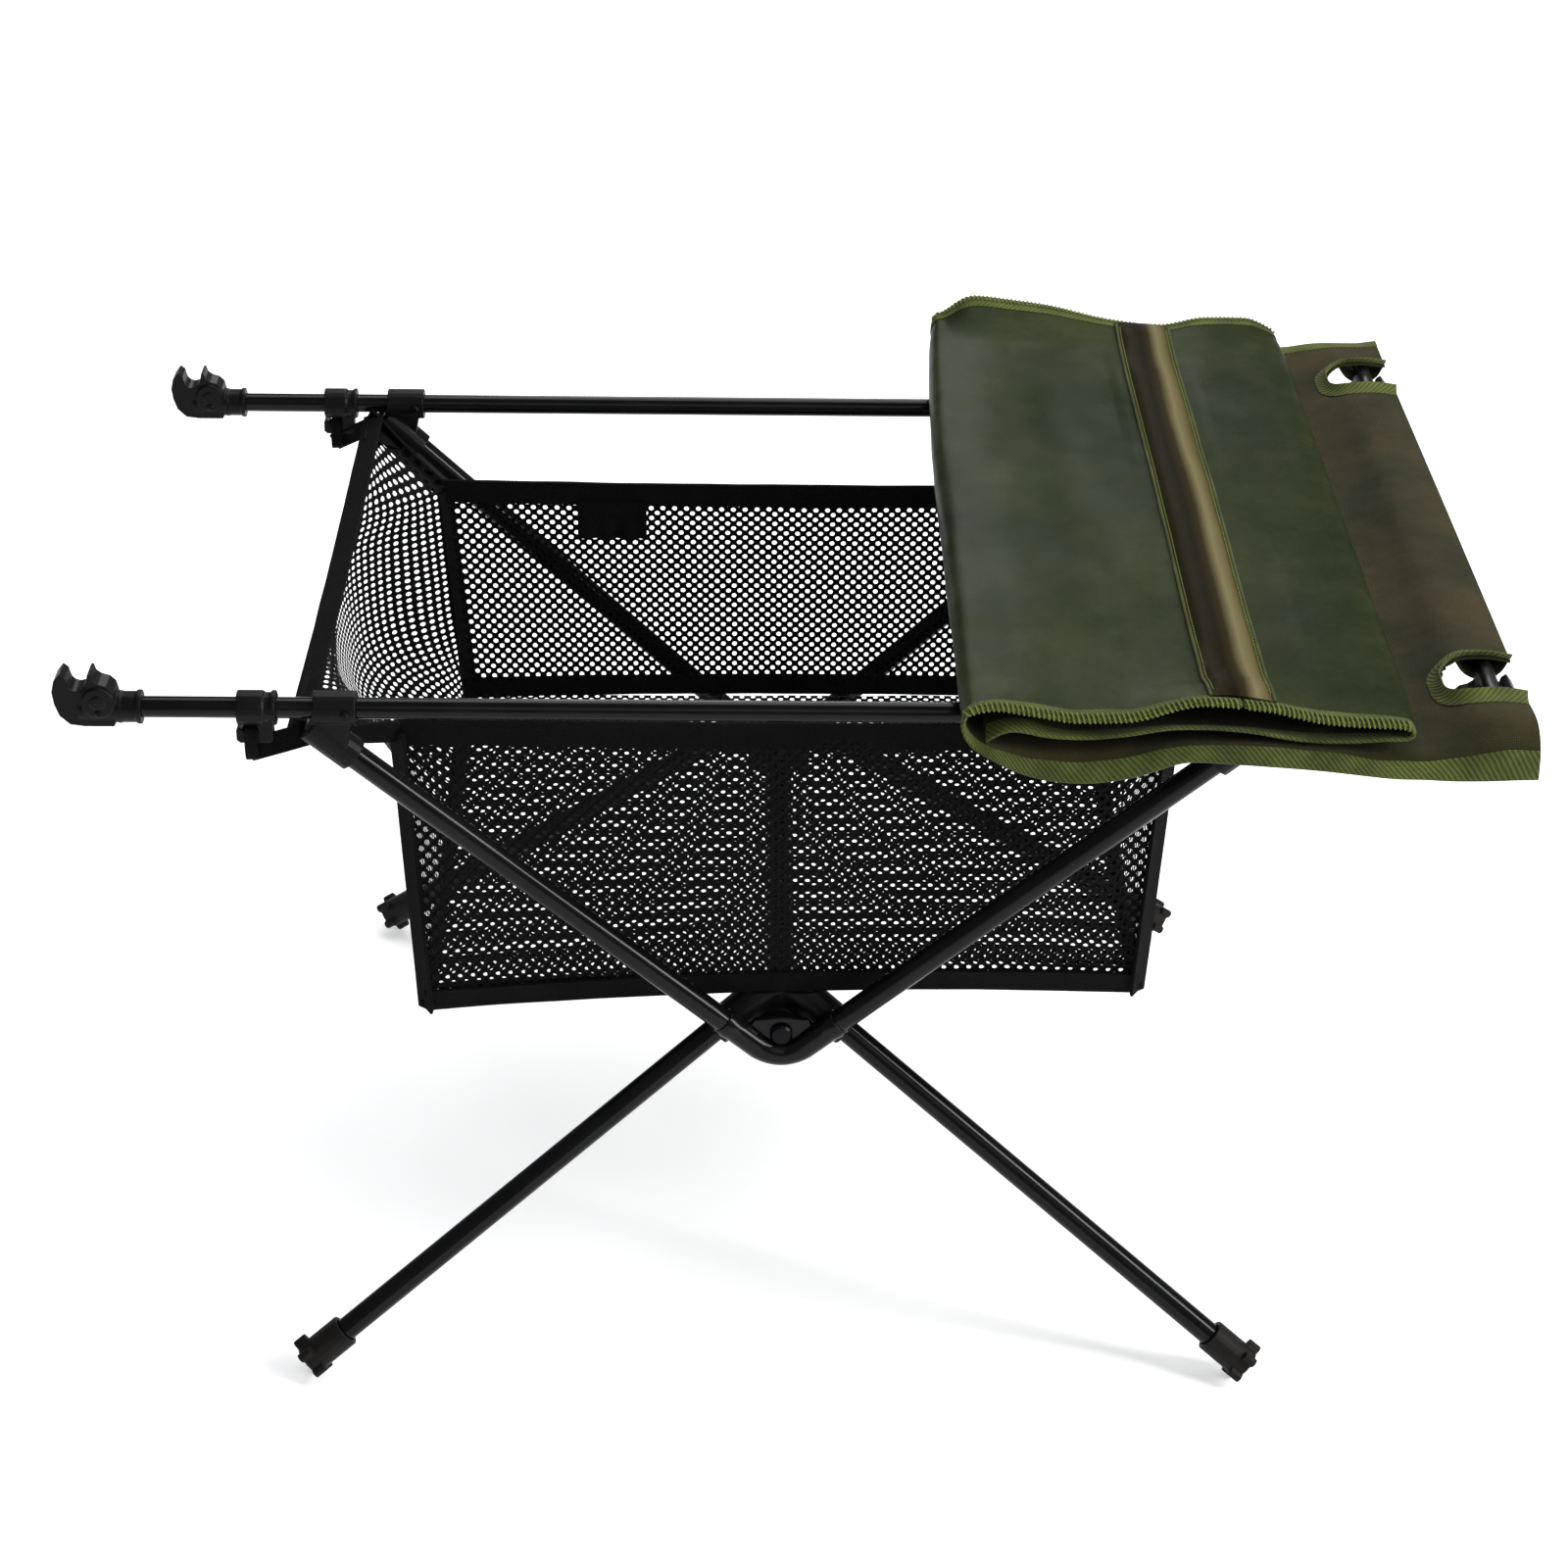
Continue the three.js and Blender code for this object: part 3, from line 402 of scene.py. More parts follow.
def hermite(knots, values, at):
    """Smooth curve through values at knots, with flat-limited tangents so that it doesn't overshoot."""
    knots, values, at = np.asarray(knots, float), np.asarray(values, float), np.asarray(at, float)
    gaps = np.diff(knots)
    slopes = np.diff(values, axis=0) / gaps.reshape(-1, *([1] * (values.ndim - 1)))
    tangents = np.zeros_like(values)
    tangents[1:-1] = (slopes[:-1] + slopes[1:]) / 2
    tangents[0], tangents[-1] = slopes[0], slopes[-1]
    same = slopes[:-1] * slopes[1:] > 0
    limit = 3 * np.minimum(abs(slopes[:-1]), abs(slopes[1:]))
    tangents[1:-1] = np.where(same, np.clip(tangents[1:-1], -limit, limit), tangents[1:-1] * 0.25)
    k = np.clip(np.searchsorted(knots, at, side="right") - 1, 0, len(knots) - 2)
    shape = (-1, *([1] * (values.ndim - 1)))
    h = gaps[k].reshape(shape)
    t = ((at - knots[k]) / gaps[k]).reshape(shape)
    t2, t3 = t * t, t * t * t
    return ((2 * t3 - 3 * t2 + 1) * values[k] + (t3 - 2 * t2 + t) * h * tangents[k]
            + (3 * t2 - 2 * t3) * values[k + 1] + (t3 - t2) * h * tangents[k + 1])


def grid_faces(rows, columns, ring=False):
    """Faces over points numbered row by row. A ring's rows close up, and its two ends are capped."""
    faces = []
    for j in range(rows - 1):
        for k in range(columns if ring else columns - 1):
            a, b = j * columns + k, j * columns + (k + 1) % columns
            faces.append((a, b, b + columns, a + columns))
    if ring:
        faces.append(tuple(range(columns))[::-1])
        faces.append(tuple(range((rows - 1) * columns, rows * columns)))
    return faces


def travel(points):
    """Distance travelled at each point of a line."""
    return np.concatenate([[0], np.cumsum(np.linalg.norm(np.diff(points, axis=0), axis=1))])


def directions(path):
    """The unit direction of a line at each of its points."""
    along = np.gradient(path, axis=0)
    return along / np.linalg.norm(along, axis=1)[:, None]


def square_to(axis):
    """A direction square to an axis, to start a ring from."""
    return np.cross(axis, (0, 0, 1) if abs(axis[2]) < 0.9 else (1, 0, 0))


def ring(centre, radius, side, axis, sides, along):
    """Points round a centre, with their UVs: distance along, and distance round."""
    other = np.cross(axis, side)
    points, uvs = [], []
    for j in range(sides):
        a = 2 * math.pi * j / sides
        points.append(centre + radius * (math.cos(a) * side + math.sin(a) * other))
        uvs.append((along, radius * a))
    return points, uvs


def tube_path(path, radius, sides):
    """Vertices, faces and UVs of a round tube along points; radius is one number or one per point."""
    path = np.asarray(path, float)
    radii = np.broadcast_to(np.asarray(radius, float), len(path))
    along = directions(path)
    side = square_to(along[0])
    vertices, uvs = [], []
    for p, t, r, distance in zip(path, along, radii, travel(path)):
        side = side - t * side.dot(t)
        side /= np.linalg.norm(side)
        points, places = ring(p, r, side, t, sides, distance)
        vertices += points
        uvs += places
    return vertices, grid_faces(len(path), sides, True), uvs


def turned(profile, start, end, sides):
    """A turned solid: profile is (radius, distance from start) pairs in metres along start to end."""
    axis = (end - start) / np.linalg.norm(end - start)
    side = square_to(axis)
    side /= np.linalg.norm(side)
    vertices, uvs = [], []
    for r, h in profile:
        points, places = ring(start + axis * h, r, side, axis, sides, h)
        vertices += points
        uvs += places
    return vertices, grid_faces(len(profile), sides, True), uvs


def pole(name, body, start, end, radius, node, material):
    """A drawn tube with rolled ends and an open bore."""
    start, end = np.asarray(start, float), np.asarray(end, float)
    length = float(np.linalg.norm(end - start))
    wall, edge, bore = 1.0 * MM, 0.45 * MM, 5 * MM
    rim = [(radius - wall, bore), (radius - wall, 0.3 * MM)]
    for a in np.linspace(0, math.pi / 2, 5):
        rim.append((radius - edge + edge * math.sin(a), edge - edge * math.cos(a)))
    barrel = [(radius, h) for h in np.linspace(0.01, length - 0.01, max(3, int(length / 0.012)))]
    profile = rim + barrel + [(r, length - h) for r, h in rim[::-1]]
    vertices, faces, uvs = turned(profile, start, end, 36)
    piece = build(name, vertices, faces, [material], uvs)
    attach(piece, body)
    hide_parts(node)


def softened(name, body, node, mesh, material, voxel, passes):
    """Closed solids fused into one skin with the edges rounded over, in place of a hard CAD node."""
    draft = linked(name + "_draft", mesh)
    remesh = draft.modifiers.new("voxels", "REMESH")
    remesh.mode, remesh.voxel_size, remesh.use_smooth_shade = "VOXEL", voxel, True
    soften = draft.modifiers.new("soften", "SMOOTH")
    soften.factor, soften.iterations = 0.5, passes
    bpy.context.view_layer.update()
    made = bpy.data.meshes.new_from_object(draft.evaluated_get(bpy.context.evaluated_depsgraph_get()))
    bpy.data.objects.remove(draft)
    made.name = name
    made.materials.clear()
    made.materials.append(material)
    made.polygons.foreach_set("use_smooth", np.full(len(made.polygons), True))
    piece = linked(name, made)
    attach(piece, body)
    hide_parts(node)
    return piece


def moulded_copy(name, body, node, material, voxel, passes):
    """A moulded version of a hard CAD node."""
    mesh = NODES[node].data.copy()
    mesh.materials.clear()
    return softened(name, body, node, mesh, material, voxel, passes)


def reflected(name, body, source, sx, sy, node):
    """A mirror image of a finished corner piece, for another corner."""
    mesh = source.data.copy()
    mesh.name = name
    mesh.transform(Matrix.Diagonal((sx, sy, 1, 1)))
    if sx * sy < 0:
        mesh.flip_normals()
    piece = linked(name, mesh)
    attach(piece, body)
    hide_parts(node)


# ------------------------------------------------------------------ frame pieces
CORNERS = {"fl": (-1, -1), "fr": (1, -1), "rl": (-1, 1), "rr": (1, 1)}
SIDES = ("front", "rear")


def middle_line(node):
    """The straight axis of a round CAD tube, from the centres of its two end rings."""
    points = np.array([v.co for v in NODES[node].data.vertices])
    centre = points.mean(0)
    axis = np.linalg.svd(points - centre, full_matrices=False)[2][0]
    reach = (points - centre) @ axis
    ends = []
    for limit in (reach.min(), reach.max()):
        ring = points[abs(reach - limit) < 0.2 * MM]
        ends.append((ring.min(0) + ring.max(0)) / 2)
    return ends


def make_frame():
    black = painted_pole()
    for side in SIDES:
        low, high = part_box(f"rail_{side}")
        _, y, z = middle_of(f"rail_{side}")
        pole(f"rail_{side}_tube", "frame_body", (low.x, y, z), (high.x, y, z), 5 * MM, f"rail_{side}", black)
    low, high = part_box("crossbar")
    z = middle_of("crossbar")[2]
    pole("crossbar_tube", "frame_body", (0, low.y, z), (0, high.y, z), 7.5 * MM, "crossbar", black)
    in_elbow = 17 * MM  # the poles start this far up, inside the elbow's socket
    for tag in CORNERS:
        start, end = sorted(middle_line(f"pole_{tag}"), key=lambda p: p[2])
        start = start + (end - start) / np.linalg.norm(end - start) * in_elbow
        pole(f"pole_{tag}_tube", "frame_body", start, end, 6 * MM, f"pole_{tag}", black)
        start, end = middle_line(f"leg_{tag}")
        pole(f"leg_{tag}_tube", f"lower_leg_{tag}", start, end, 6 * MM, f"leg_{tag}", black)
    make_elbows(black)


def make_elbows(black):
    """Bent tube at the foot of each V, with belled socket ends and a pressed web in the crotch."""
    arm, bend, half_web = 39 * MM, 15.5 * MM, 1.6 * MM
    outline = [(-5, 5), (5, 5), (18, 19), (13, 25.5), (0, 27), (-13, 25.5), (-18, 19)]
    mirror = np.array((-1.0, 1.0, 1.0))
    for side in SIDES:
        low, high = sorted(middle_line(f"pole_{side[0]}r"), key=lambda p: p[2])
        up = (high - low) / np.linalg.norm(high - low)
        apex = low - up * (low[0] / up[0])
        corner, straight = apex + up * bend, apex + up * arm
        first, last = corner * mirror, corner
        path = [straight * mirror + (corner - straight) * mirror * t for t in np.linspace(0, 1, 8)[:-1]]
        middle = apex * 0.8 + (first + last) / 2 * 0.2
        for t in np.linspace(0, 1, 22):
            path.append((1 - t) ** 2 * first + 2 * t * (1 - t) * middle + t * t * last)
        path += [corner + (straight - corner) * t for t in np.linspace(0, 1, 8)[1:]]
        radius = np.full(len(path), 6.6 * MM)
        radius[:2] = radius[-2:] = 7.2 * MM
        radius[0] = radius[-1] = 6.7 * MM
        parts = Parts()
        parts.add(*tube_path(path, radius, 36)[:2])
        web = [(x * MM, apex[1] + y, apex[2] + z * MM) for y in (-half_web, half_web) for x, z in outline]
        n = len(outline)
        faces = [tuple(range(n)), tuple(range(2 * n - 1, n - 1, -1))]
        faces += [(k, k + n, (k + 1) % n + n, (k + 1) % n) for k in range(n)]
        parts.add(web, faces)
        piece = parts.build(f"elbow_{side}_bend", [black])
        bevel = piece.modifiers.new("edges", "BEVEL")
        bevel.width, bevel.segments, bevel.limit_method, bevel.angle_limit = 0.5 * MM, 3, "ANGLE", 0.9
        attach(piece, "frame_body")
        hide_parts(f"elbow_{side}")


# Outline of a right-hand claw seen from the front: millimetres from the hem rod and the rail's axis.
CLAW_PROFILE = (
    (7.4, 19.4), (10.4, 15.6), (11.7, 10), (11, 4), (9, -2), (4.5, -6.4), (-2, -7.3), (-16, -7.3), (-17, -2),
    (-17.2, 6), (-16.2, 10.5), (-13.6, 13.2), (-10, 14.2), (-7.6, 16), (-6.6, 19.4), (-5.4, 19.2),
    (-4.6, 15.4), (-3.9, 12.8), (-2.2, 11), (0, 10.5), (2.2, 11), (3.9, 12.8), (4.5, 15), (5.0, 17.4),
)


def claw(material):
    """Front right claw clip: open hook with a thin outer lip, round cheek discs, and a rail socket."""
    u = middle_of("hem_rod_right")[0]
    _, y, v = middle_of("rail_front")
    half, count = 6.4 * MM, len(CLAW_PROFILE)
    work = bmesh.new()
    near, far = ([work.verts.new((u + a * MM, y + side, v + b * MM)) for a, b in CLAW_PROFILE]
                 for side in (-half, half))
    work.faces.new(near)
    work.faces.new(far[::-1])
    for k in range(count):
        work.faces.new((near[k], far[k], far[(k + 1) % count], near[(k + 1) % count]))

    def disc(place, turn, radius, end_radius, depth, segments):
        bmesh.ops.create_cone(
            work, cap_ends=True, segments=segments, radius1=radius * MM, radius2=end_radius * MM,
            depth=depth * MM, matrix=Matrix.Translation(place) @ Matrix.Rotation(*turn),
        )

    for radius, start, end in ((7.3, -28.3, 0), (8.0, -28.3, -26.2), (7.7, -19, -17.6)):
        disc((u + (start + end) / 2 * MM, y, v), (math.pi / 2, 4, "Y"), radius, radius, end - start, 48)
    for side in (-1, 1):
        cheek = (u - 9.2 * MM, y + side * half, v + 5.4 * MM)
        for radius, thick in ((7.4, 1.3), (3.2, 2.0)):
            disc(cheek, (math.pi / 2 * side, 4, "X"), radius, radius * 0.9, thick * 2, 36)
    bmesh.ops.recalc_face_normals(work, faces=work.faces)
    mesh = bpy.data.meshes.new("claw_draft")
    work.to_mesh(mesh)
    work.free()
    return softened("claw_fr_moulded", "frame_body", "claw_fr", mesh, material, 0.4 * MM, 4)


def other_corners(kind, first, body="frame_body"):
    """The front right fitting of a kind, mirrored to the other three corners."""
    for tag, (sx, sy) in CORNERS.items():
        if tag != "fr":
            own_body = body.replace("_fr", "_" + tag)
            reflected(f"{kind}_{tag}_moulded", own_body, first, sx, -sy, f"{kind}_{tag}")


def make_fittings():
    plastic = moulded("moulded_black", (0.0034, 0.0034, 0.0037), 0.36, 0.1)
    rubber = moulded("rubber_black", (0.0055, 0.0047, 0.0042), 0.5, 0.12)
    metal = rivet_metal()
    other_corners("claw", claw(plastic))
    for kind, body, material, voxel, passes in (
        ("collar", "frame_body", plastic, 0.4, 3),
        ("bracket", "frame_body", plastic, 0.45, 5),
        ("foot", "lower_leg_fr", rubber, 0.42, 7),
    ):
        first = moulded_copy(f"{kind}_fr_moulded", body, f"{kind}_fr", material, voxel * MM, passes)
        other_corners(kind, first, body)
    hub = moulded_copy("hub_front_moulded", "frame_body", "hub_front", plastic, 0.5 * MM, 5)
    reflected("hub_rear_moulded", "frame_body", hub, 1, -1, "hub_rear")
    for name, node in NODES.items():
        if "pin" in name or "rivet" in name:
            node.data.materials.clear()
            node.data.materials.append(metal)
        elif name.startswith("hem_rod"):
            low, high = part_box(name)
            x, _, z = middle_of(name)
            body = "frame_body" if name.endswith("right") else "top_fold"
            pole(name + "_tube", body, (x, low.y, z), (x, high.y, z), 4 * MM, name, drawn_rod())


# ------------------------------------------------------------------ cloth
def resampled(rows, step):
    """Even distances along a grid's rows, and the grid at them with its rows and columns swapped."""
    gaps = np.linalg.norm(np.diff(rows, axis=1), axis=2).mean(0)
    knots = np.concatenate([[0], np.cumsum(gaps)])
    even = np.linspace(0, knots[-1], int(knots[-1] / step) + 2)
    return even, hermite(knots, rows.transpose(1, 0, 2), even)


class Cloth:
    """A cloth surface through rows of points (rows run across, stations along), resampled evenly."""

    def __init__(self, rows, step, wrinkle=0.0, calm=None, seed=0.0):
        self.s, fine = resampled(np.asarray(rows, float), step)
        self.t, self.grid = resampled(fine, step)
        self.length, self.width = self.s[-1], self.t[-1]
        if wrinkle:
            normals = self.face_normals()
            for j, row in enumerate(self.grid):
                for k, p in enumerate(row):
                    s, t = self.s[k], self.t[j]
                    broad = noise.noise(Vector((s * 17, t * 11, seed)))
                    narrow = noise.noise(Vector((s * 46 + 0.5 * broad, t * 30, seed + 7)))
                    lift = wrinkle * (broad + 0.4 * narrow) * (calm(s, t) if calm else 1.0)
                    row[k] = p + normals[j, k] * lift
        self.normals = self.face_normals()

    def face_normals(self):
        along, across = np.gradient(self.grid, axis=1), np.gradient(self.grid, axis=0)
        normals = np.cross(across, along)
        return normals / np.linalg.norm(normals, axis=2)[..., None]

    def at(self, s, t, field=None):
        """Point (or other field) at cloth place s along, t across."""
        field = self.grid if field is None else field
        u = np.clip(np.asarray(s, float) / self.length * (len(self.s) - 1), 0, len(self.s) - 1.001)
        v = np.clip(np.asarray(t, float) / self.width * (len(self.t) - 1), 0, len(self.t) - 1.001)
        i, j = u.astype(int), v.astype(int)
        a, b = (u - i)[..., None], (v - j)[..., None]
        return ((field[j, i] * (1 - a) + field[j, i + 1] * a) * (1 - b)
                + (field[j + 1, i] * (1 - a) + field[j + 1, i + 1] * a) * b)

    def normal(self, s, t):
        n = self.at(s, t, self.normals)
        return n / np.linalg.norm(n, axis=-1)[..., None]

    def beyond(self, s, t, lift):
        """Like at, but s and t may run a little off the edge, and lift is the height over the surface."""
        si, ti = np.clip(s, 0, self.length), np.clip(t, 0, self.width)
        e = 1 * MM
        ds = (self.at(np.clip(si + e, 0, self.length), ti) - self.at(np.clip(si - e, 0, self.length), ti))
        dt = (self.at(si, np.clip(ti + e, 0, self.width)) - self.at(si, np.clip(ti - e, 0, self.width)))
        ds /= np.linalg.norm(ds, axis=-1)[..., None]
        dt /= np.linalg.norm(dt, axis=-1)[..., None]
        base = self.at(si, ti) + ds * (s - si)[..., None] + dt * (t - ti)[..., None]
        return base + self.normal(si, ti) * np.asarray(lift, float)[..., None]

    def run_at(self, x, window):
        """Where the surface passes X = x in the window (s from, s to): s, one per row across."""
        inside = (self.s >= window[0]) & (self.s <= window[1])
        found = []
        for row in self.grid:
            xs = row[inside, 0]
            order = np.argsort(xs)
            found.append(np.interp(x, xs[order], self.s[inside][order]))
        return np.array(found)


def notch_distance(s, t, middles, end=None):
    """Distance outside the claw notches (negative inside); they open at s = 0, or at s = end."""
    best = np.full(np.shape(s), 1.0)
    s = s if end is None else end - s
    for middle in middles:
        qx = np.abs(t - middle) - (NOTCH_HALF - NOTCH_CORNER)
        qy = s - (NOTCH_DEPTH - NOTCH_CORNER)
        outside = np.hypot(np.maximum(qx, 0), np.maximum(qy, 0)) + np.minimum(np.maximum(qx, qy), 0)
        best = np.minimum(best, outside - NOTCH_CORNER)
    return best


def notch_outline(middle, end=None):
    """Points (s, t) round one notch from its first mouth corner to its last, with inward directions."""
    half, depth, corner = NOTCH_HALF, NOTCH_DEPTH, NOTCH_CORNER
    side = [((s, -half), (0, -1)) for s in np.arange(0.5 * MM, depth - corner, 2 * MM)]
    for a in np.linspace(0, math.pi / 2, 12):
        c, d = math.cos(a), math.sin(a)
        side.append(((depth - corner + corner * d, corner - half - corner * c), (d, -c)))
    bottom = [((depth, a), (1, 0)) for a in np.linspace(corner - half, half - corner, 8)[1:-1]]
    outline = side + bottom + [((s, -t), (i, -j)) for (s, t), (i, j) in side[::-1]]
    points, inward = (np.array(column, float) for column in zip(*outline))
    points[:, 1] += middle
    if end is not None:
        points[:, 0] = end - points[:, 0]
        inward[:, 0] *= -1
    return points, inward


def cloth_piece(name, cloth, materials, thickness, **notches):
    """A thin two-faced cloth: materials are (side towards the normal, other side)."""
    m, n = len(cloth.t), len(cloth.s)
    s, t = np.meshgrid(cloth.s, cloth.t)
    keep = np.full((m, n), True)
    if notches:
        reach = notch_distance(s, t, **notches)
        e = 0.2 * MM
        gs = (notch_distance(s + e, t, **notches) - notch_distance(s - e, t, **notches)) / (2 * e)
        gt = (notch_distance(s, t + e, **notches) - notch_distance(s, t - e, **notches)) / (2 * e)
        near = abs(reach) < 1.3 * MM  # these points move onto the notch's edge
        s = np.where(near, np.clip(s - gs * reach, 0, cloth.length), s)
        t = np.where(near, t - gt * reach, t)
        keep = (reach > 0) | near
    points, normals = cloth.at(s, t), cloth.normal(s, t)
    index = -np.ones((m, n), int)
    index[keep] = np.arange(keep.sum())
    flat = keep.ravel()
    high = (points + normals * thickness / 2).reshape(-1, 3)[flat]
    low = (points - normals * thickness / 2).reshape(-1, 3)[flat]
    uvs = np.stack([s.ravel()[flat], t.ravel()[flat]], axis=1)
    quads = np.stack([index[:-1, :-1], index[:-1, 1:], index[1:, 1:], index[1:, :-1]], axis=2).reshape(-1, 4)
    quads = quads[(quads >= 0).all(1)]
    count = len(high)
    faces = [tuple(q[::-1]) for q in quads] + [tuple(q + count) for q in quads]
    edges = {}
    for q in quads:
        for a, b in zip(q, np.roll(q, -1)):
            if (b, a) in edges:
                del edges[(b, a)]
            else:
                edges[(a, b)] = True
    rim = [(a, b, b + count, a + count) for a, b in edges]
    slots = [0] * len(quads) + [1] * (len(quads) + len(rim))
    both, places = np.concatenate([high, low]), np.concatenate([uvs, uvs])
    return build(name, both, faces + rim, materials, places, slots)


def add_surface(parts, cloth, slot, lift=0.0):
    """One layer of faces over a cloth's grid, lift above its surface."""
    points = (cloth.grid + cloth.normals * lift).reshape(-1, 3)
    uvs = [(s, t) for t in cloth.t for s in cloth.s]
    parts.add(list(points), grid_faces(len(cloth.t), len(cloth.s)), slot, uvs)


def binding(parts, cloth, line, inward, width, lift, curl=0.0, slot=0):
    """Tape folded over an edge: line and inward are (s, t) arrays along the edge."""
    half = [(width, 0.45 * MM), (width, lift), (0.7 * width, lift * 1.25), (0.35 * width, lift * 1.15),
            (0.3 * MM, lift * 1.2), (-0.5 * MM, lift * 0.95)]
    section = half + [(-1.0 * MM, 0.0)] + [(d, -h) for d, h in half[::-1]]
    across = travel(np.array(section))
    heights = np.array([h + curl * max(0.0, 1 - d / width) ** 2 for d, h in section])
    rows, uvs = [], []
    for place, into, distance in zip(line, inward, travel(cloth.at(line[:, 0], line[:, 1]))):
        wave = 1 + 0.10 * noise.noise(Vector((distance * 60, 3.0, slot)))
        depths = np.array([d * wave for d, _ in section])
        rows.append(cloth.beyond(place[0] + into[0] * depths, place[1] + into[1] * depths, heights))
        uvs += [(distance, a) for a in across]
    parts.add(list(np.concatenate(rows)), grid_faces(len(line), len(section)), slot, uvs)


def sewn(parts, cloth, places, thickness, sides, slot):
    """One thread through places (s, t, height over the cloth)."""
    path = [cloth.beyond(*(np.array([v]) for v in place))[0] for place in places]
    parts.add(*tube_path(path, thickness, sides)[:2], slot)


def whip_stitches(parts, cloth, line, inward):
    """Thick thread wound over an edge, one slanting turn every pitch."""
    pitch, reach, slot = 2.3 * MM, 3.4 * MM, 2
    passed = travel(cloth.at(line[:, 0], line[:, 1]))
    for k, start in enumerate(np.arange(0.4 * pitch, passed[-1] - pitch, pitch)):
        places = []
        for f in np.linspace(-0.12, 1.12, 9):
            a = math.pi * (f - 0.5)
            where = start + pitch * (0.95 * f)
            s, t, i, j = (np.interp(where, passed, column) for column in (*line.T, *inward.T))
            d = reach * (1 - math.cos(a)) - 1.3 * MM
            places.append((s + i * d, t + j * d, 1.75 * MM * math.sin(a)))
        sewn(parts, cloth, places, 0.46 * MM * (1 + 0.12 * math.sin(k * 2.4)), 7, slot)


def running_stitches(parts, cloth, line, slot):
    """Short raised stitches lying on the back face of the cloth, along a line of (s, t)."""
    pitch, length = 3.2 * MM, 2.2 * MM
    passed = travel(cloth.at(line[:, 0], line[:, 1]))
    for start in np.arange(pitch, passed[-1] - pitch, pitch):
        places = []
        for f in np.linspace(0, 1, 5):
            s, t = (np.interp(start + f * length, passed, column) for column in line.T)
            places.append((s, t, -(0.35 + 0.75 * math.sin(math.pi * f)) * MM))
        sewn(parts, cloth, places, 0.3 * MM, 6, slot)


# ------------------------------------------------------------------ fabric top
LOWER_X = (337, 325, 312, 300, 287, 272, 241, 202, 181, 153, 131, 108, 92)
FOLDED_X = (92, 107, 129, 151, 184, 203)
ROLLED_X = (203, 215, 239, 262, 272)
INNER_X = (268, 250, 230, 203, 175, 150, 129, 118, 112, 108, 100, 94, 88)

# One row per line across the cloth, front edge first. Each is Y on the lower layer and on the layers
# above it, the lower layer's heights at LOWER_X, three (X, Z) points round the left fold, and the
# upper layer's heights at FOLDED_X. All in millimetres.
FIRST_ROWS = (
    (-236, -231, (363.4, 363, 362.4, 362.4, 363, 363.4, 367, 370, 371, 362.5, 360, 363.5, 371),
     ((82, 377), (78, 386), (80.5, 393)), (394, 392, 388.5, 389, 397, 396)),
    (-233, -224, (376.4, 376.8, 375, 372, 370, 370, 374, 377, 377, 371, 368.5, 370, 374.5),
     ((82, 379), (78.3, 386.5), (80.5, 393.5)), (394.5, 393, 389.8, 390, 397, 396)),
    (-220, -212, (384.4, 385, 383.6, 376.5, 372.5, 371.8, 374, 375.5, 375.5, 372.5, 371, 372, 374.5),
     ((81.3, 379), (78.1, 385.7), (80.7, 392.4)), (393.7, 393.3, 391, 390.5, 395.5, 395)),
    (-195, -195, (383, 384.8, 384, 378, 373.5, 372.5, 373.5, 374.5, 374.5, 373, 372.5, 373, 374.5),
     ((81, 379), (78, 385), (81, 391.5)), (393, 393.5, 392, 391, 391.4, 391)),
    (0, 0, (383.5, 384.8, 384, 378.5, 374.5, 373.5, 373, 372.5, 372, 372, 372, 372.8, 374.5),
     ((80.5, 378.5), (78, 384.5), (81, 391)), (393.5, 394.5, 393.5, 392, 392, 392.5)),
    (195, 195, (383.5, 384.8, 384, 379.5, 376.5, 376, 375.5, 375, 375, 374.5, 374.5, 375, 377),
     ((84, 381), (82, 388), (85, 395)), (396.5, 397, 395.5, 394, 391.8, 391)),
    (231, 231, (384.5, 383, 383, 382.5, 380.5, 379.5, 379, 378.5, 378, 378, 378, 378.5, 380.5),
     ((86, 386), (85, 392), (87, 398)), (400, 409, 407, 404, 396, 393)),
)
# The same for the rolled end: Y, heights at ROLLED_X, the right fold, heights at INNER_X.
INNER_REST = (378.8, 378.3, 378.2, 378.3, 378.2, 378, 378.2, 380.5, 384.5, 386.6, 387.4, 387, 386)
INNER_FRONT = (379.5, 378.5, 379.5, 384, 385, 381, 379.5, 380, 381, 382, 383, 381, 377)
SECOND_ROWS = (
    (-231, (396, 394.5, 389, 387, 386.5), ((278, 385.5), (280.5, 382.5), (277, 380)), INNER_FRONT),
    (-224, (396, 394.5, 390, 388, 387.2), ((278.4, 385.8), (280.8, 382.7), (277.5, 379.8)),
     (379.2, 378.4, 379, 381.5, 382, 380, 379, 380.2, 382.6, 384.4, 385.2, 384, 381.5)),
    (-212, (395, 394, 391, 389.6, 388.8), ((279, 386.5), (281.5, 383), (278.4, 379.6)),
     (379, 378.3, 378.6, 379.6, 379.8, 379, 378.6, 380.4, 383.8, 385.9, 386.9, 386.2, 385)),
    (-195, (391, 391, 391.2, 390.5, 389.5), ((279.5, 387), (282, 383), (279, 379.5)), INNER_REST),
    (0, (392.5, 392.5, 392, 391, 390), ((279.5, 387), (282, 383), (279, 379.5)), INNER_REST),
    (195, (391, 391.3, 393.4, 393.2, 392), ((279, 389.5), (281.5, 385), (278.5, 381)),
     (380.3, 380, 380, 380, 380, 380, 380.5, 382, 385, 387, 387.6, 387, 386)),
    (231, (393, 393, 397.5, 397.5, 393.5), ((277, 390), (278.5, 387), (276, 384)),
     (383.5, 383.5, 383.5, 383.5, 383.5, 383.5, 384, 385, 386.5, 387.8, 388, 387.2, 386)),
)
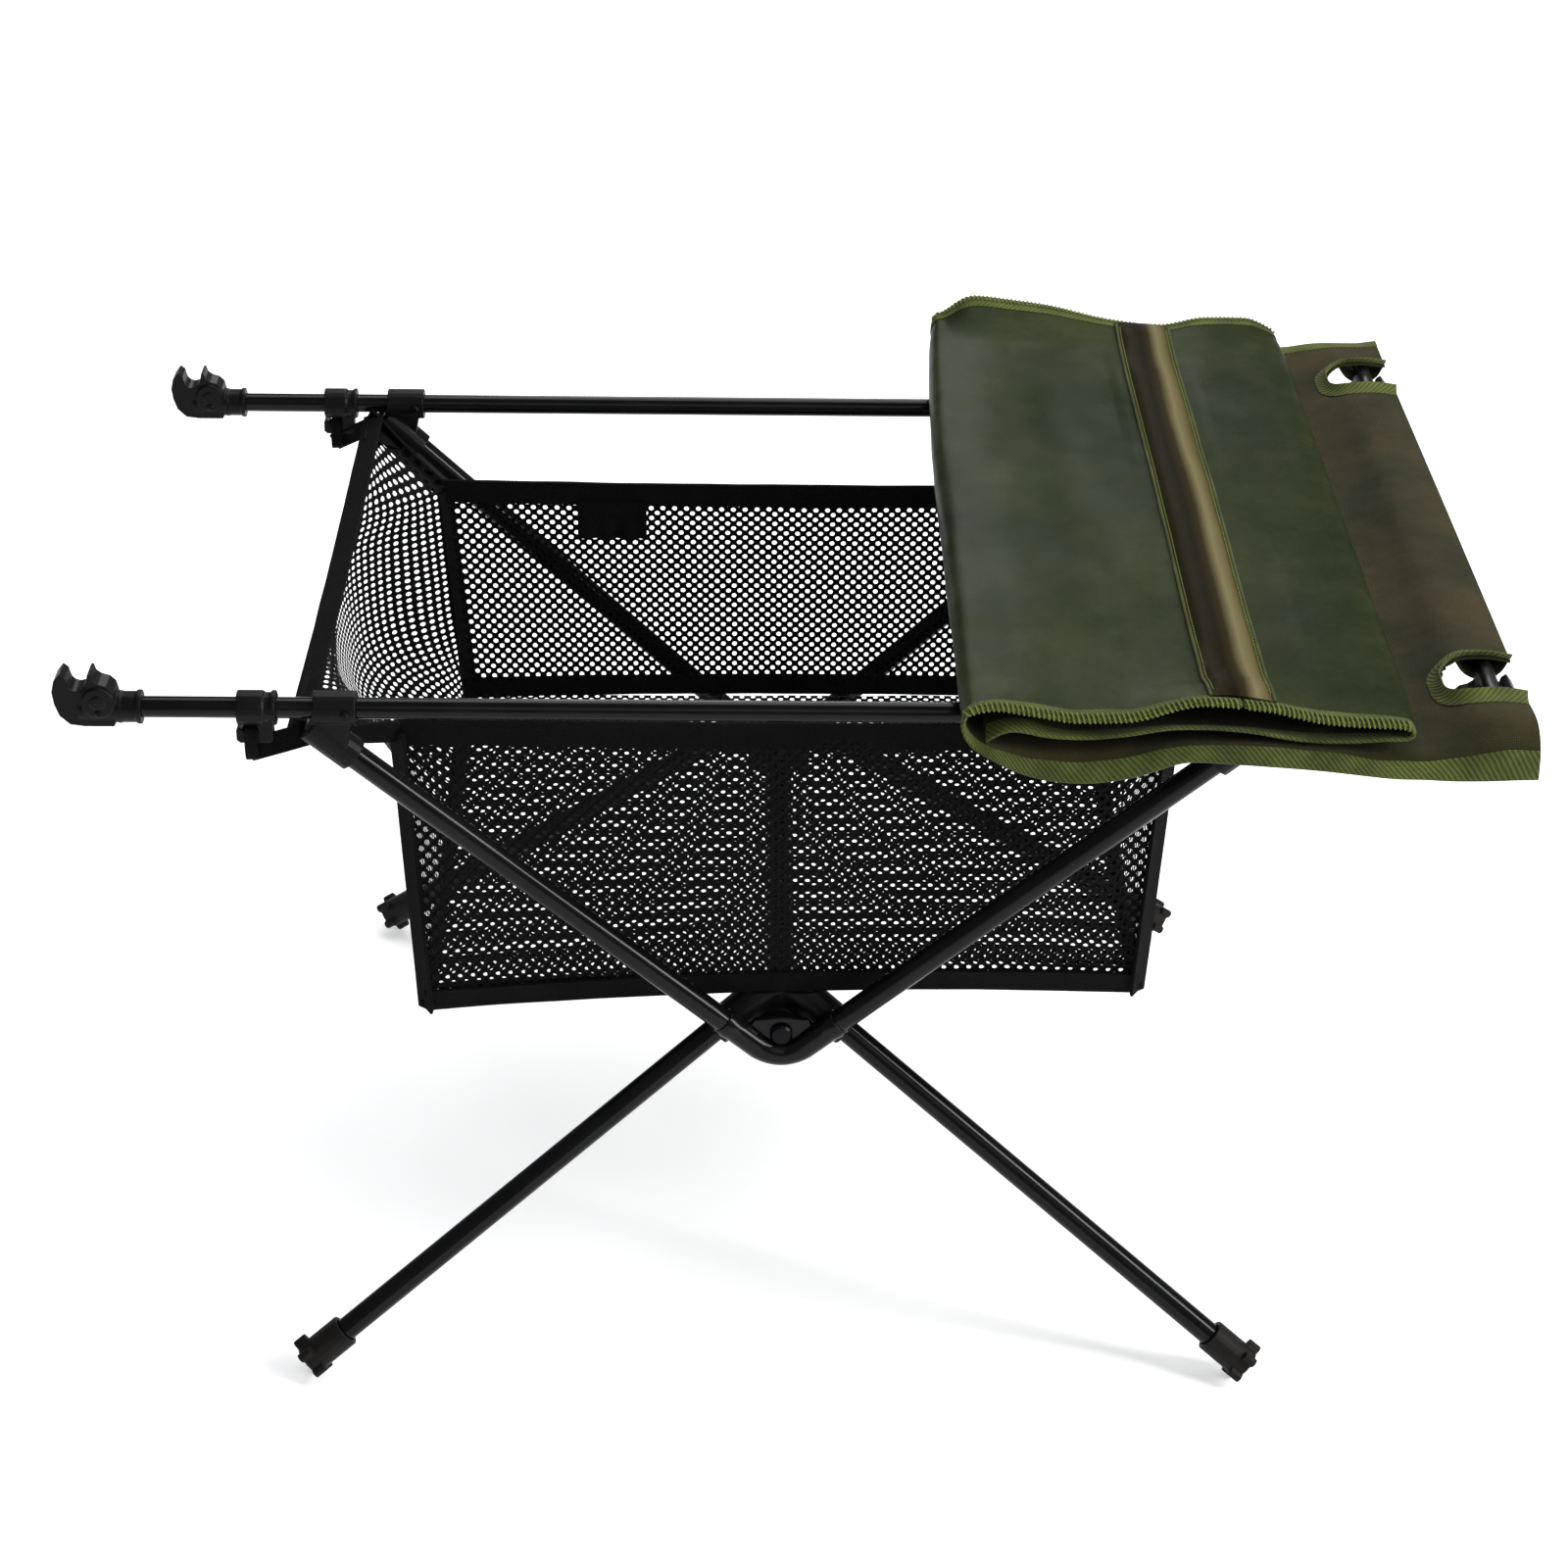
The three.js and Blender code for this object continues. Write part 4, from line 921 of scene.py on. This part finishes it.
NOTCH_HALF, NOTCH_DEPTH, NOTCH_CORNER = 18 * MM, 35 * MM, 14 * MM
CLOTH_THICK, CLOTH_STEP, WRINKLE = 1.0 * MM, 2.4 * MM, 0.55 * MM
RAIL_Y = 179 * MM
OVER_CLAWS = 25 * MM  # from the cloth's end to the middle of its claws
RIGHT_ROD, LEFT_ROD = (325, 379), (99.98, 382)  # (X, Z) of the hem rods, in millimetres


def first_layer():
    """Lower layer from the right hem, round the left fold, to the strap. Calm over the right rod."""
    rows = [
        [(x, y_low, z) for x, z in zip(LOWER_X, lower)]
        + [(x, (y_low + y_high) / 2, z) for x, z in nose]
        + [(x, y_high, z) for x, z in zip(FOLDED_X, upper)]
        for y_low, y_high, lower, nose, upper in FIRST_ROWS
    ]
    return Cloth(np.array(rows) * MM, CLOTH_STEP, WRINKLE, lambda s, t: min(1, abs(s - 0.012) / 0.05), 2.0)


def second_layer():
    """Rolled end from the strap, round the right fold, to the end hem. Calm at both of its ends."""
    rows = [
        [(x, y, z) for x, z in (*zip(ROLLED_X, upper), *nose, *zip(INNER_X, inner))]
        for y, upper, nose, inner in SECOND_ROWS
    ]

    def calm(s, t):
        return min(1, s / 0.03, max(0, 0.278 - s) / 0.05)

    return Cloth(np.array(rows) * MM, CLOTH_STEP, WRINKLE, calm, 5.0)


def straight_edge(t, s_from, s_to, inward):
    """A line (s, t) along the cloth, with its inward directions."""
    s = np.arange(s_from, s_to, 2 * MM)
    return np.stack([s, np.full(len(s), t)], axis=1), np.tile(inward, (len(s), 1))


def rail_crossings(cloth, s):
    """Where the front and rear rails pass under the line s = constant: t of each."""
    t = np.linspace(0, cloth.width, 200)
    ys = cloth.at(np.full(200, s), t)[:, 1]
    return [float(np.interp(y, ys, t)) for y in (-RAIL_Y, RAIL_Y)]


def hemmed(parts, cloth, t, inward, width, slot, whip_from, whip_to):
    """One long edge of the cloth: binding all along, and whip stitches on a stretch of it."""
    binding(parts, cloth, *straight_edge(t, 0.0, cloth.length, inward), width, 0.85 * MM, slot=slot)
    whip_stitches(parts, cloth, *straight_edge(t, whip_from, whip_to, inward))


def pocket(parts, rod_x, rod_z, side):
    """Cloth turned under the hem rod, between the claw notches."""
    section = [(-14, 4.4), (-9, -2.4), (-4.5, -5), (0, -5.7), (4.5, -4.8), (8.2, -2), (11.2, 4)]
    for y_from, y_to in ((-217, -199), (-159, 159), (199, 229)):
        ys = np.linspace(y_from, y_to, max(8, int((y_to - y_from) / 4)))
        rows = [[((rod_x + side * u) * MM, y * MM, (rod_z + v) * MM) for u, v in section] for y in ys]
        under = Cloth(rows, CLOTH_STEP)
        for lift in (0.4 * MM, -0.4 * MM):
            add_surface(parts, under, 0, lift)


def make_top():
    coated, woven = coated_fabric(), woven_fabric()
    olive = edge_tape("olive_tape", (0.034, 0.042, 0.008), (0.098, 0.118, 0.026))
    green = edge_tape("green_hem", (0.027, 0.035, 0.006), (0.080, 0.098, 0.021))
    bright = thread("olive_thread", (0.125, 0.155, 0.026))
    front, rear = (0, 1), (0, -1)  # from each edge into the cloth

    first, second = first_layer(), second_layer()
    middles = rail_crossings(first, OVER_CLAWS)
    end_middles = rail_crossings(second, second.length - OVER_CLAWS)
    lower = cloth_piece("top_cloth_lower", first, [woven, coated], CLOTH_THICK, middles=middles)
    rolled = cloth_piece("top_cloth_rolled", second, [woven, coated], CLOTH_THICK,
                         middles=end_middles, end=second.length)

    trim = Parts()
    upper_from = first.length - 125 * MM
    hemmed(trim, first, 0.0, front, 7.5 * MM, 1, upper_from, first.length)
    running_stitches(trim, first, straight_edge(5.4 * MM, 8 * MM, 150 * MM, front)[0], 2)
    hemmed(trim, first, first.width, rear, 7 * MM, 0, upper_from, first.length)
    for middle in middles:
        binding(trim, first, *notch_outline(middle), 6.5 * MM, 1.0 * MM, curl=3.0 * MM)
    pocket(trim, *RIGHT_ROD, 1)
    trim = trim.build("top_trim_lower", [olive, green, bright])

    rolled_trim = Parts()
    hemmed(rolled_trim, second, 0.0, front, 7 * MM, 1, 0.0, 82 * MM)
    hemmed(rolled_trim, second, second.width, rear, 7 * MM, 0, 0.0, 82 * MM)
    for middle in end_middles:
        binding(rolled_trim, second, *notch_outline(middle, second.length), 6.5 * MM, 0.9 * MM)
    pocket(rolled_trim, *LEFT_ROD, -1)
    rolled_edge = rolled_trim.build("top_trim_rolled", [olive, green, bright])

    sleeve, sleeve_edge = make_sleeve(first, second, olive, bright)
    for piece in (lower, trim):
        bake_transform(piece)
    for piece in (rolled, rolled_edge):
        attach(piece, "top_fold")
    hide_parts("top_lower")
    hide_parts("top_rolled")


def make_sleeve(first, second, olive, bright):
    """Satin strap sewn across the upper layer over a batten, with piped edges."""
    satin, middle_x, half_length = satin_strap(), 203, 0.2275
    left = first.at(first.run_at(188 * MM, (first.length - 0.11, first.length)), first.t)
    right = second.at(second.run_at(218 * MM, (0, 0.05)), second.t)
    rows = []
    for y in np.linspace(-226, 227, 60) * MM:
        left_z, right_z = (np.interp(y, side[:, 1], side[:, 2]) for side in (left, right))
        full = min(1.0, (abs(abs(y) - half_length)) / 0.016) ** 0.5
        full *= 1 - 0.5 * math.exp(-(((abs(y) - 0.179) / 0.017) ** 2))  # flatter over the rails
        row = []
        for dx in (-15.2, -13.4, -11, -6, 0, 6, 11, 13.4, 15.2):
            base = left_z + (right_z - left_z) * (dx + 15) / 30
            dome = 3.6 * max(0.0, 1 - (dx / 12.4) ** 2) ** 0.5 * full
            sway = 0.5 * noise.noise(Vector((y * 18, dx * 0.02, 3.3)))
            row.append(((middle_x + dx) * MM + sway * MM, y, base + (1.25 + dome) * MM))
        rows.append(row)
    cloth = Cloth(rows, 1.6 * MM, 0.35 * MM, None, 9.0)
    sleeve = cloth_piece("top_strap", cloth, [satin, satin], 0.8 * MM)
    parts = Parts()
    for edge in (0.7 * MM, cloth.length - 0.7 * MM):
        t = np.arange(0, cloth.width, 2 * MM)
        line = cloth.beyond(np.full(len(t), edge), t, np.full(len(t), -0.35 * MM))
        parts.add(*tube_path(line, 0.85 * MM, 8)[:2], 0)
    for edge in (2.7 * MM, cloth.length - 2.7 * MM):
        t = np.arange(3 * MM, cloth.width - 3 * MM, 1 * MM)
        running_stitches(parts, cloth, np.stack([np.full(len(t), edge), t], axis=1), 1)
    edge_piece = parts.build("top_strap_piping", [olive, bright])
    batten = []
    for y in np.linspace(-212, 212, 40) * MM:
        base = (np.interp(y, left[:, 1], left[:, 2]) + np.interp(y, right[:, 1], right[:, 2])) / 2
        batten.append([((middle_x + dx) * MM, y, base + 1.9 * MM) for dx in (-8.5, -4, 0, 4, 8.5)])
    grey = moulded("batten", (0.05, 0.05, 0.05), 0.5)
    stiffener = cloth_piece("top_batten_strip", Cloth(batten, 3 * MM), [grey, grey], 1.1 * MM)
    for piece in (sleeve, edge_piece, stiffener):
        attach(piece, "top_fold")
    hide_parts("top_sleeve")
    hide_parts("top_batten")
    return sleeve, edge_piece


# ------------------------------------------------------------------ basket
# How far the end walls belly out, rear to front, at heights from floor (0) to hem (1) to hooks (2).
BULGE_AT = (0, 0.04, 0.09, 0.15, 0.25, 0.4, 0.55, 0.7, 0.85, 1)
END_BULGE = (
    (0.0, (0,) * 10),
    (0.3, (0, 13, 32, 43, 46, 30, 12, 3, 0, 0)),
    (0.6, (0, 14, 36, 50, 54, 50, 36, 13, 2, 0)),
    (0.85, (0, 13, 33, 48, 54, 53, 49, 39, 15, 0)),
    (1.0, (0, 12, 28, 42, 48, 49, 48, 44, 28, 0)),
    (1.5, (0, 6, 13, 18, 20, 19, 17, 14, 9, 0)),
    (2.0, (0,) * 10),
)
FLOOR_Z = {(-1, -1): 180, (1, -1): 193, (-1, 1): 197, (1, 1): 199}


def basket_points(sx, sy):
    """Floor corner, crease, hem corner and hook corner of the basket, in metres."""
    z = FLOOR_Z[(sx, sy)]
    corner = np.array((176 * sx, 150 * sy, z), float)
    hem = np.array((185 * sx, 138 * sy, 330), float)
    crease = corner + (hem - corner) * (286 - z) / (330 - z)
    hook = np.array((229 * sx, 176 * sy, 358 if sy > 0 else 352), float)
    return [p * MM for p in (corner, crease, hem, hook)]


def sagging(a, b, count, drop, push=(0, 0, 0)):
    """A line from a to b hanging by drop in its middle and pushed sideways."""
    t = np.linspace(0, 1, count)[:, None]
    bow = 4 * t * (1 - t)
    return a + (b - a) * t + bow * (np.array((0, 0, -drop)) + np.asarray(push, float))


def net_panel(parts, rows, slot, wrinkle, seed):
    """One layer of net through rows of points."""
    add_surface(parts, Cloth(rows, 5 * MM, wrinkle, None, seed), slot)


def tape(parts, path, facing, width, thickness):
    """Flat webbing along a path; facing is the direction its flat side looks, one or one per point."""
    path = np.asarray(path, float)
    facing = np.broadcast_to(np.asarray(facing, float), path.shape)
    half = [(-0.5, -0.2), (-0.47, -0.5), (-0.2, -0.42), (0.2, -0.42), (0.47, -0.5), (0.5, -0.2)]
    section = half + [(-u, -v) for u, v in half]
    vertices, uvs = [], []
    for p, t, f, distance in zip(path, directions(path), facing, travel(path)):
        f = f - t * f.dot(t)
        f /= np.linalg.norm(f)
        side = np.cross(t, f)
        sway = 1 + 0.05 * noise.noise(Vector((distance * 40, p[0] * 9, p[1] * 9)))
        for u, v in section:
            vertices.append(p + side * u * width * sway + f * v * thickness)
            uvs.append((distance, u * width + v * thickness))
    parts.add(vertices, grid_faces(len(path), len(section), True), 0, uvs)


def make_basket():
    fine = net_fabric("net_diagonal", 4.5 * MM, 1.32 * MM, math.pi / 4)
    square = net_fabric("net_square", 4.7 * MM, 1.3 * MM, 0.0)
    webbing = black_webbing()
    point = {(sx, sy): basket_points(sx, sy) for sx in (-1, 1) for sy in (-1, 1)}
    net, tapes = Parts(), Parts()
    floor_rows = []
    for f in np.linspace(0, 1, 7):
        left, right = (point[(sx, -1)][0] * (1 - f) + point[(sx, 1)][0] * f for sx in (-1, 1))
        floor_rows.append(sagging(left, right, 9, -(6 * MM if f < 0.2 else 3 * MM) * (1 - f)))
    net_panel(net, floor_rows, 0, 1.0 * MM, 1.0)
    for sy in (-1, 1):
        left, right = point[(-1, sy)], point[(1, sy)]
        rise = -6 * MM if sy < 0 else -3 * MM
        rows = [sagging(left[0], right[0], 9, rise),
                sagging(left[1], right[1], 9, 0, (0, sy * 3 * MM, 0)),
                sagging(left[2], right[2], 9, 1.5 * MM)]
        net_panel(net, rows, 0, 1.2 * MM, 3.0 + sy)
        bottom = sagging(left[0], right[0], 40, rise) + np.array((0, 0, 4.5 * MM))
        tape(tapes, bottom, (0, sy, -0.1), 12 * MM, 1.8 * MM)
        tape(tapes, sagging(left[2], right[2], 40, 1.5 * MM), (0, sy, 0.1), 14 * MM, 2.0 * MM)
    for sx in (-1, 1):
        front, rear = point[(sx, -1)], point[(sx, 1)]
        net_panel(net, end_wall(sx, front, rear), 1, 0.8 * MM, 6.0 + sx)
        tape(tapes, sagging(front[0], rear[0], 40, 0), (sx * 0.8, 0, -0.6), 9 * MM, 1.6 * MM)
        top = sagging(front[3], rear[3], 40, 4 * MM) - np.array((sx * 3, 0, 0)) * MM
        tape(tapes, top, (sx * 0.35, 0, 1), 12 * MM, 2.0 * MM)
        for sy in (-1, 1):
            corner_webbing(tapes, sx, sy, point[(sx, sy)], point[(sx, -sy)][3])
    basket = net.build("basket_net", [fine, square])
    edging = tapes.build("basket_webbing", [webbing])
    tag = make_tag()
    for piece in (basket, edging, tag):
        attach(piece, "frame_body")
    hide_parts("basket")
    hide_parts(*[f"basket_loop_{tag}" for tag in CORNERS])
    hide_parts("basket_label")


def end_wall(sx, front, rear):
    """Rows of an end wall from floor to hooks, bellied out by END_BULGE."""
    rows = []
    a = np.array(BULGE_AT)[:, None]
    for height, bulge in END_BULGE:
        base, top, part = (0, 2, height) if height <= 1 else (2, 3, height - 1)
        start, end = (p[base] + (p[top] - p[base]) * part for p in (rear, front))
        outward = np.array(bulge)[:, None] * np.array((sx, 0, 0)) * MM
        drop = np.array((0, 0, -4 * MM if height == 2 else 0.0))
        rows.append(start + (end - start) * a + outward + drop * 4 * a * (1 - a))
    return rows


def corner_webbing(parts, sx, sy, points, other_hook):
    """The tapes at one corner: seam, flare, collar loop, doubled patch and the tab to the collar."""
    corner, _, hem, hook = points
    tape(parts, np.linspace(corner, hem, 24), (sx, sy, 0), 10 * MM, 2.2 * MM)
    tape(parts, sagging(hem, hook, 20, 2 * MM), (-sy * sx * 0.4, sy, 0.15), 12 * MM, 2.0 * MM)
    collar_loop(parts, ("f" if sy < 0 else "r") + ("l" if sx < 0 else "r"))
    reach = (30 if sy > 0 else 52) * MM
    along, down = ((end - hook) / np.linalg.norm(end - hook) * reach for end in (other_hook, hem))
    rows = [[hook + along * f * (1 - g) + down * f * g for g in np.linspace(0, 1, 6)]
            for f in np.linspace(0.05, 1, 7)]
    net_panel(parts, rows, 0, 0.3 * MM, 4.0)
    collar = np.array((249 * sx, 178 * sy, 341)) * MM
    tape(parts, np.linspace(hook - np.array((sx * 8, 0, 3)) * MM, collar, 8),
         (sx * 0.2, sy, 0.2), 11 * MM, 1.8 * MM)


def collar_loop(parts, tag):
    """Webbing loop over the collar's hook: a rounded rectangle in the CAD loop's box."""
    low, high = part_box(f"basket_loop_{tag}")
    x, y, z = middle_of(f"basket_loop_{tag}")
    half_y, half_z = (high.y - low.y) / 2 - 0.6 * MM, (high.z - low.z) / 2 - 0.6 * MM
    angles = np.linspace(0, 2 * math.pi, 40)

    def rounded(v):
        return math.copysign(abs(v) ** 0.62, v)

    path = [(x, y + half_y * rounded(math.cos(a)), z + half_z * rounded(math.sin(a))) for a in angles]
    tape(parts, path, [(0, math.cos(a), math.sin(a)) for a in angles], 6 * MM, 1.3 * MM)


def make_tag():
    """Plain black cloth tag, sewn under the rear hem and curling a little."""
    low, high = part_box("basket_label")
    y, xs = middle_of("basket_label")[1], np.linspace(low.x, high.x, 8)
    rows = []
    for f in np.linspace(0, 1, 6):
        curl, z = 1.2 * MM * (1 - f) ** 2, low.z + (high.z - low.z) * f
        rows.append([(x, y - curl * (1 + math.sin(9 * g)), z) for g, x in enumerate(xs)])
    return cloth_piece("basket_tag", Cloth(rows, 1.5 * MM), [black_webbing()] * 2, 0.6 * MM)


# ------------------------------------------------------------------ build everything
make_camera()
make_room()
make_frame()
make_fittings()
make_basket()
make_top()
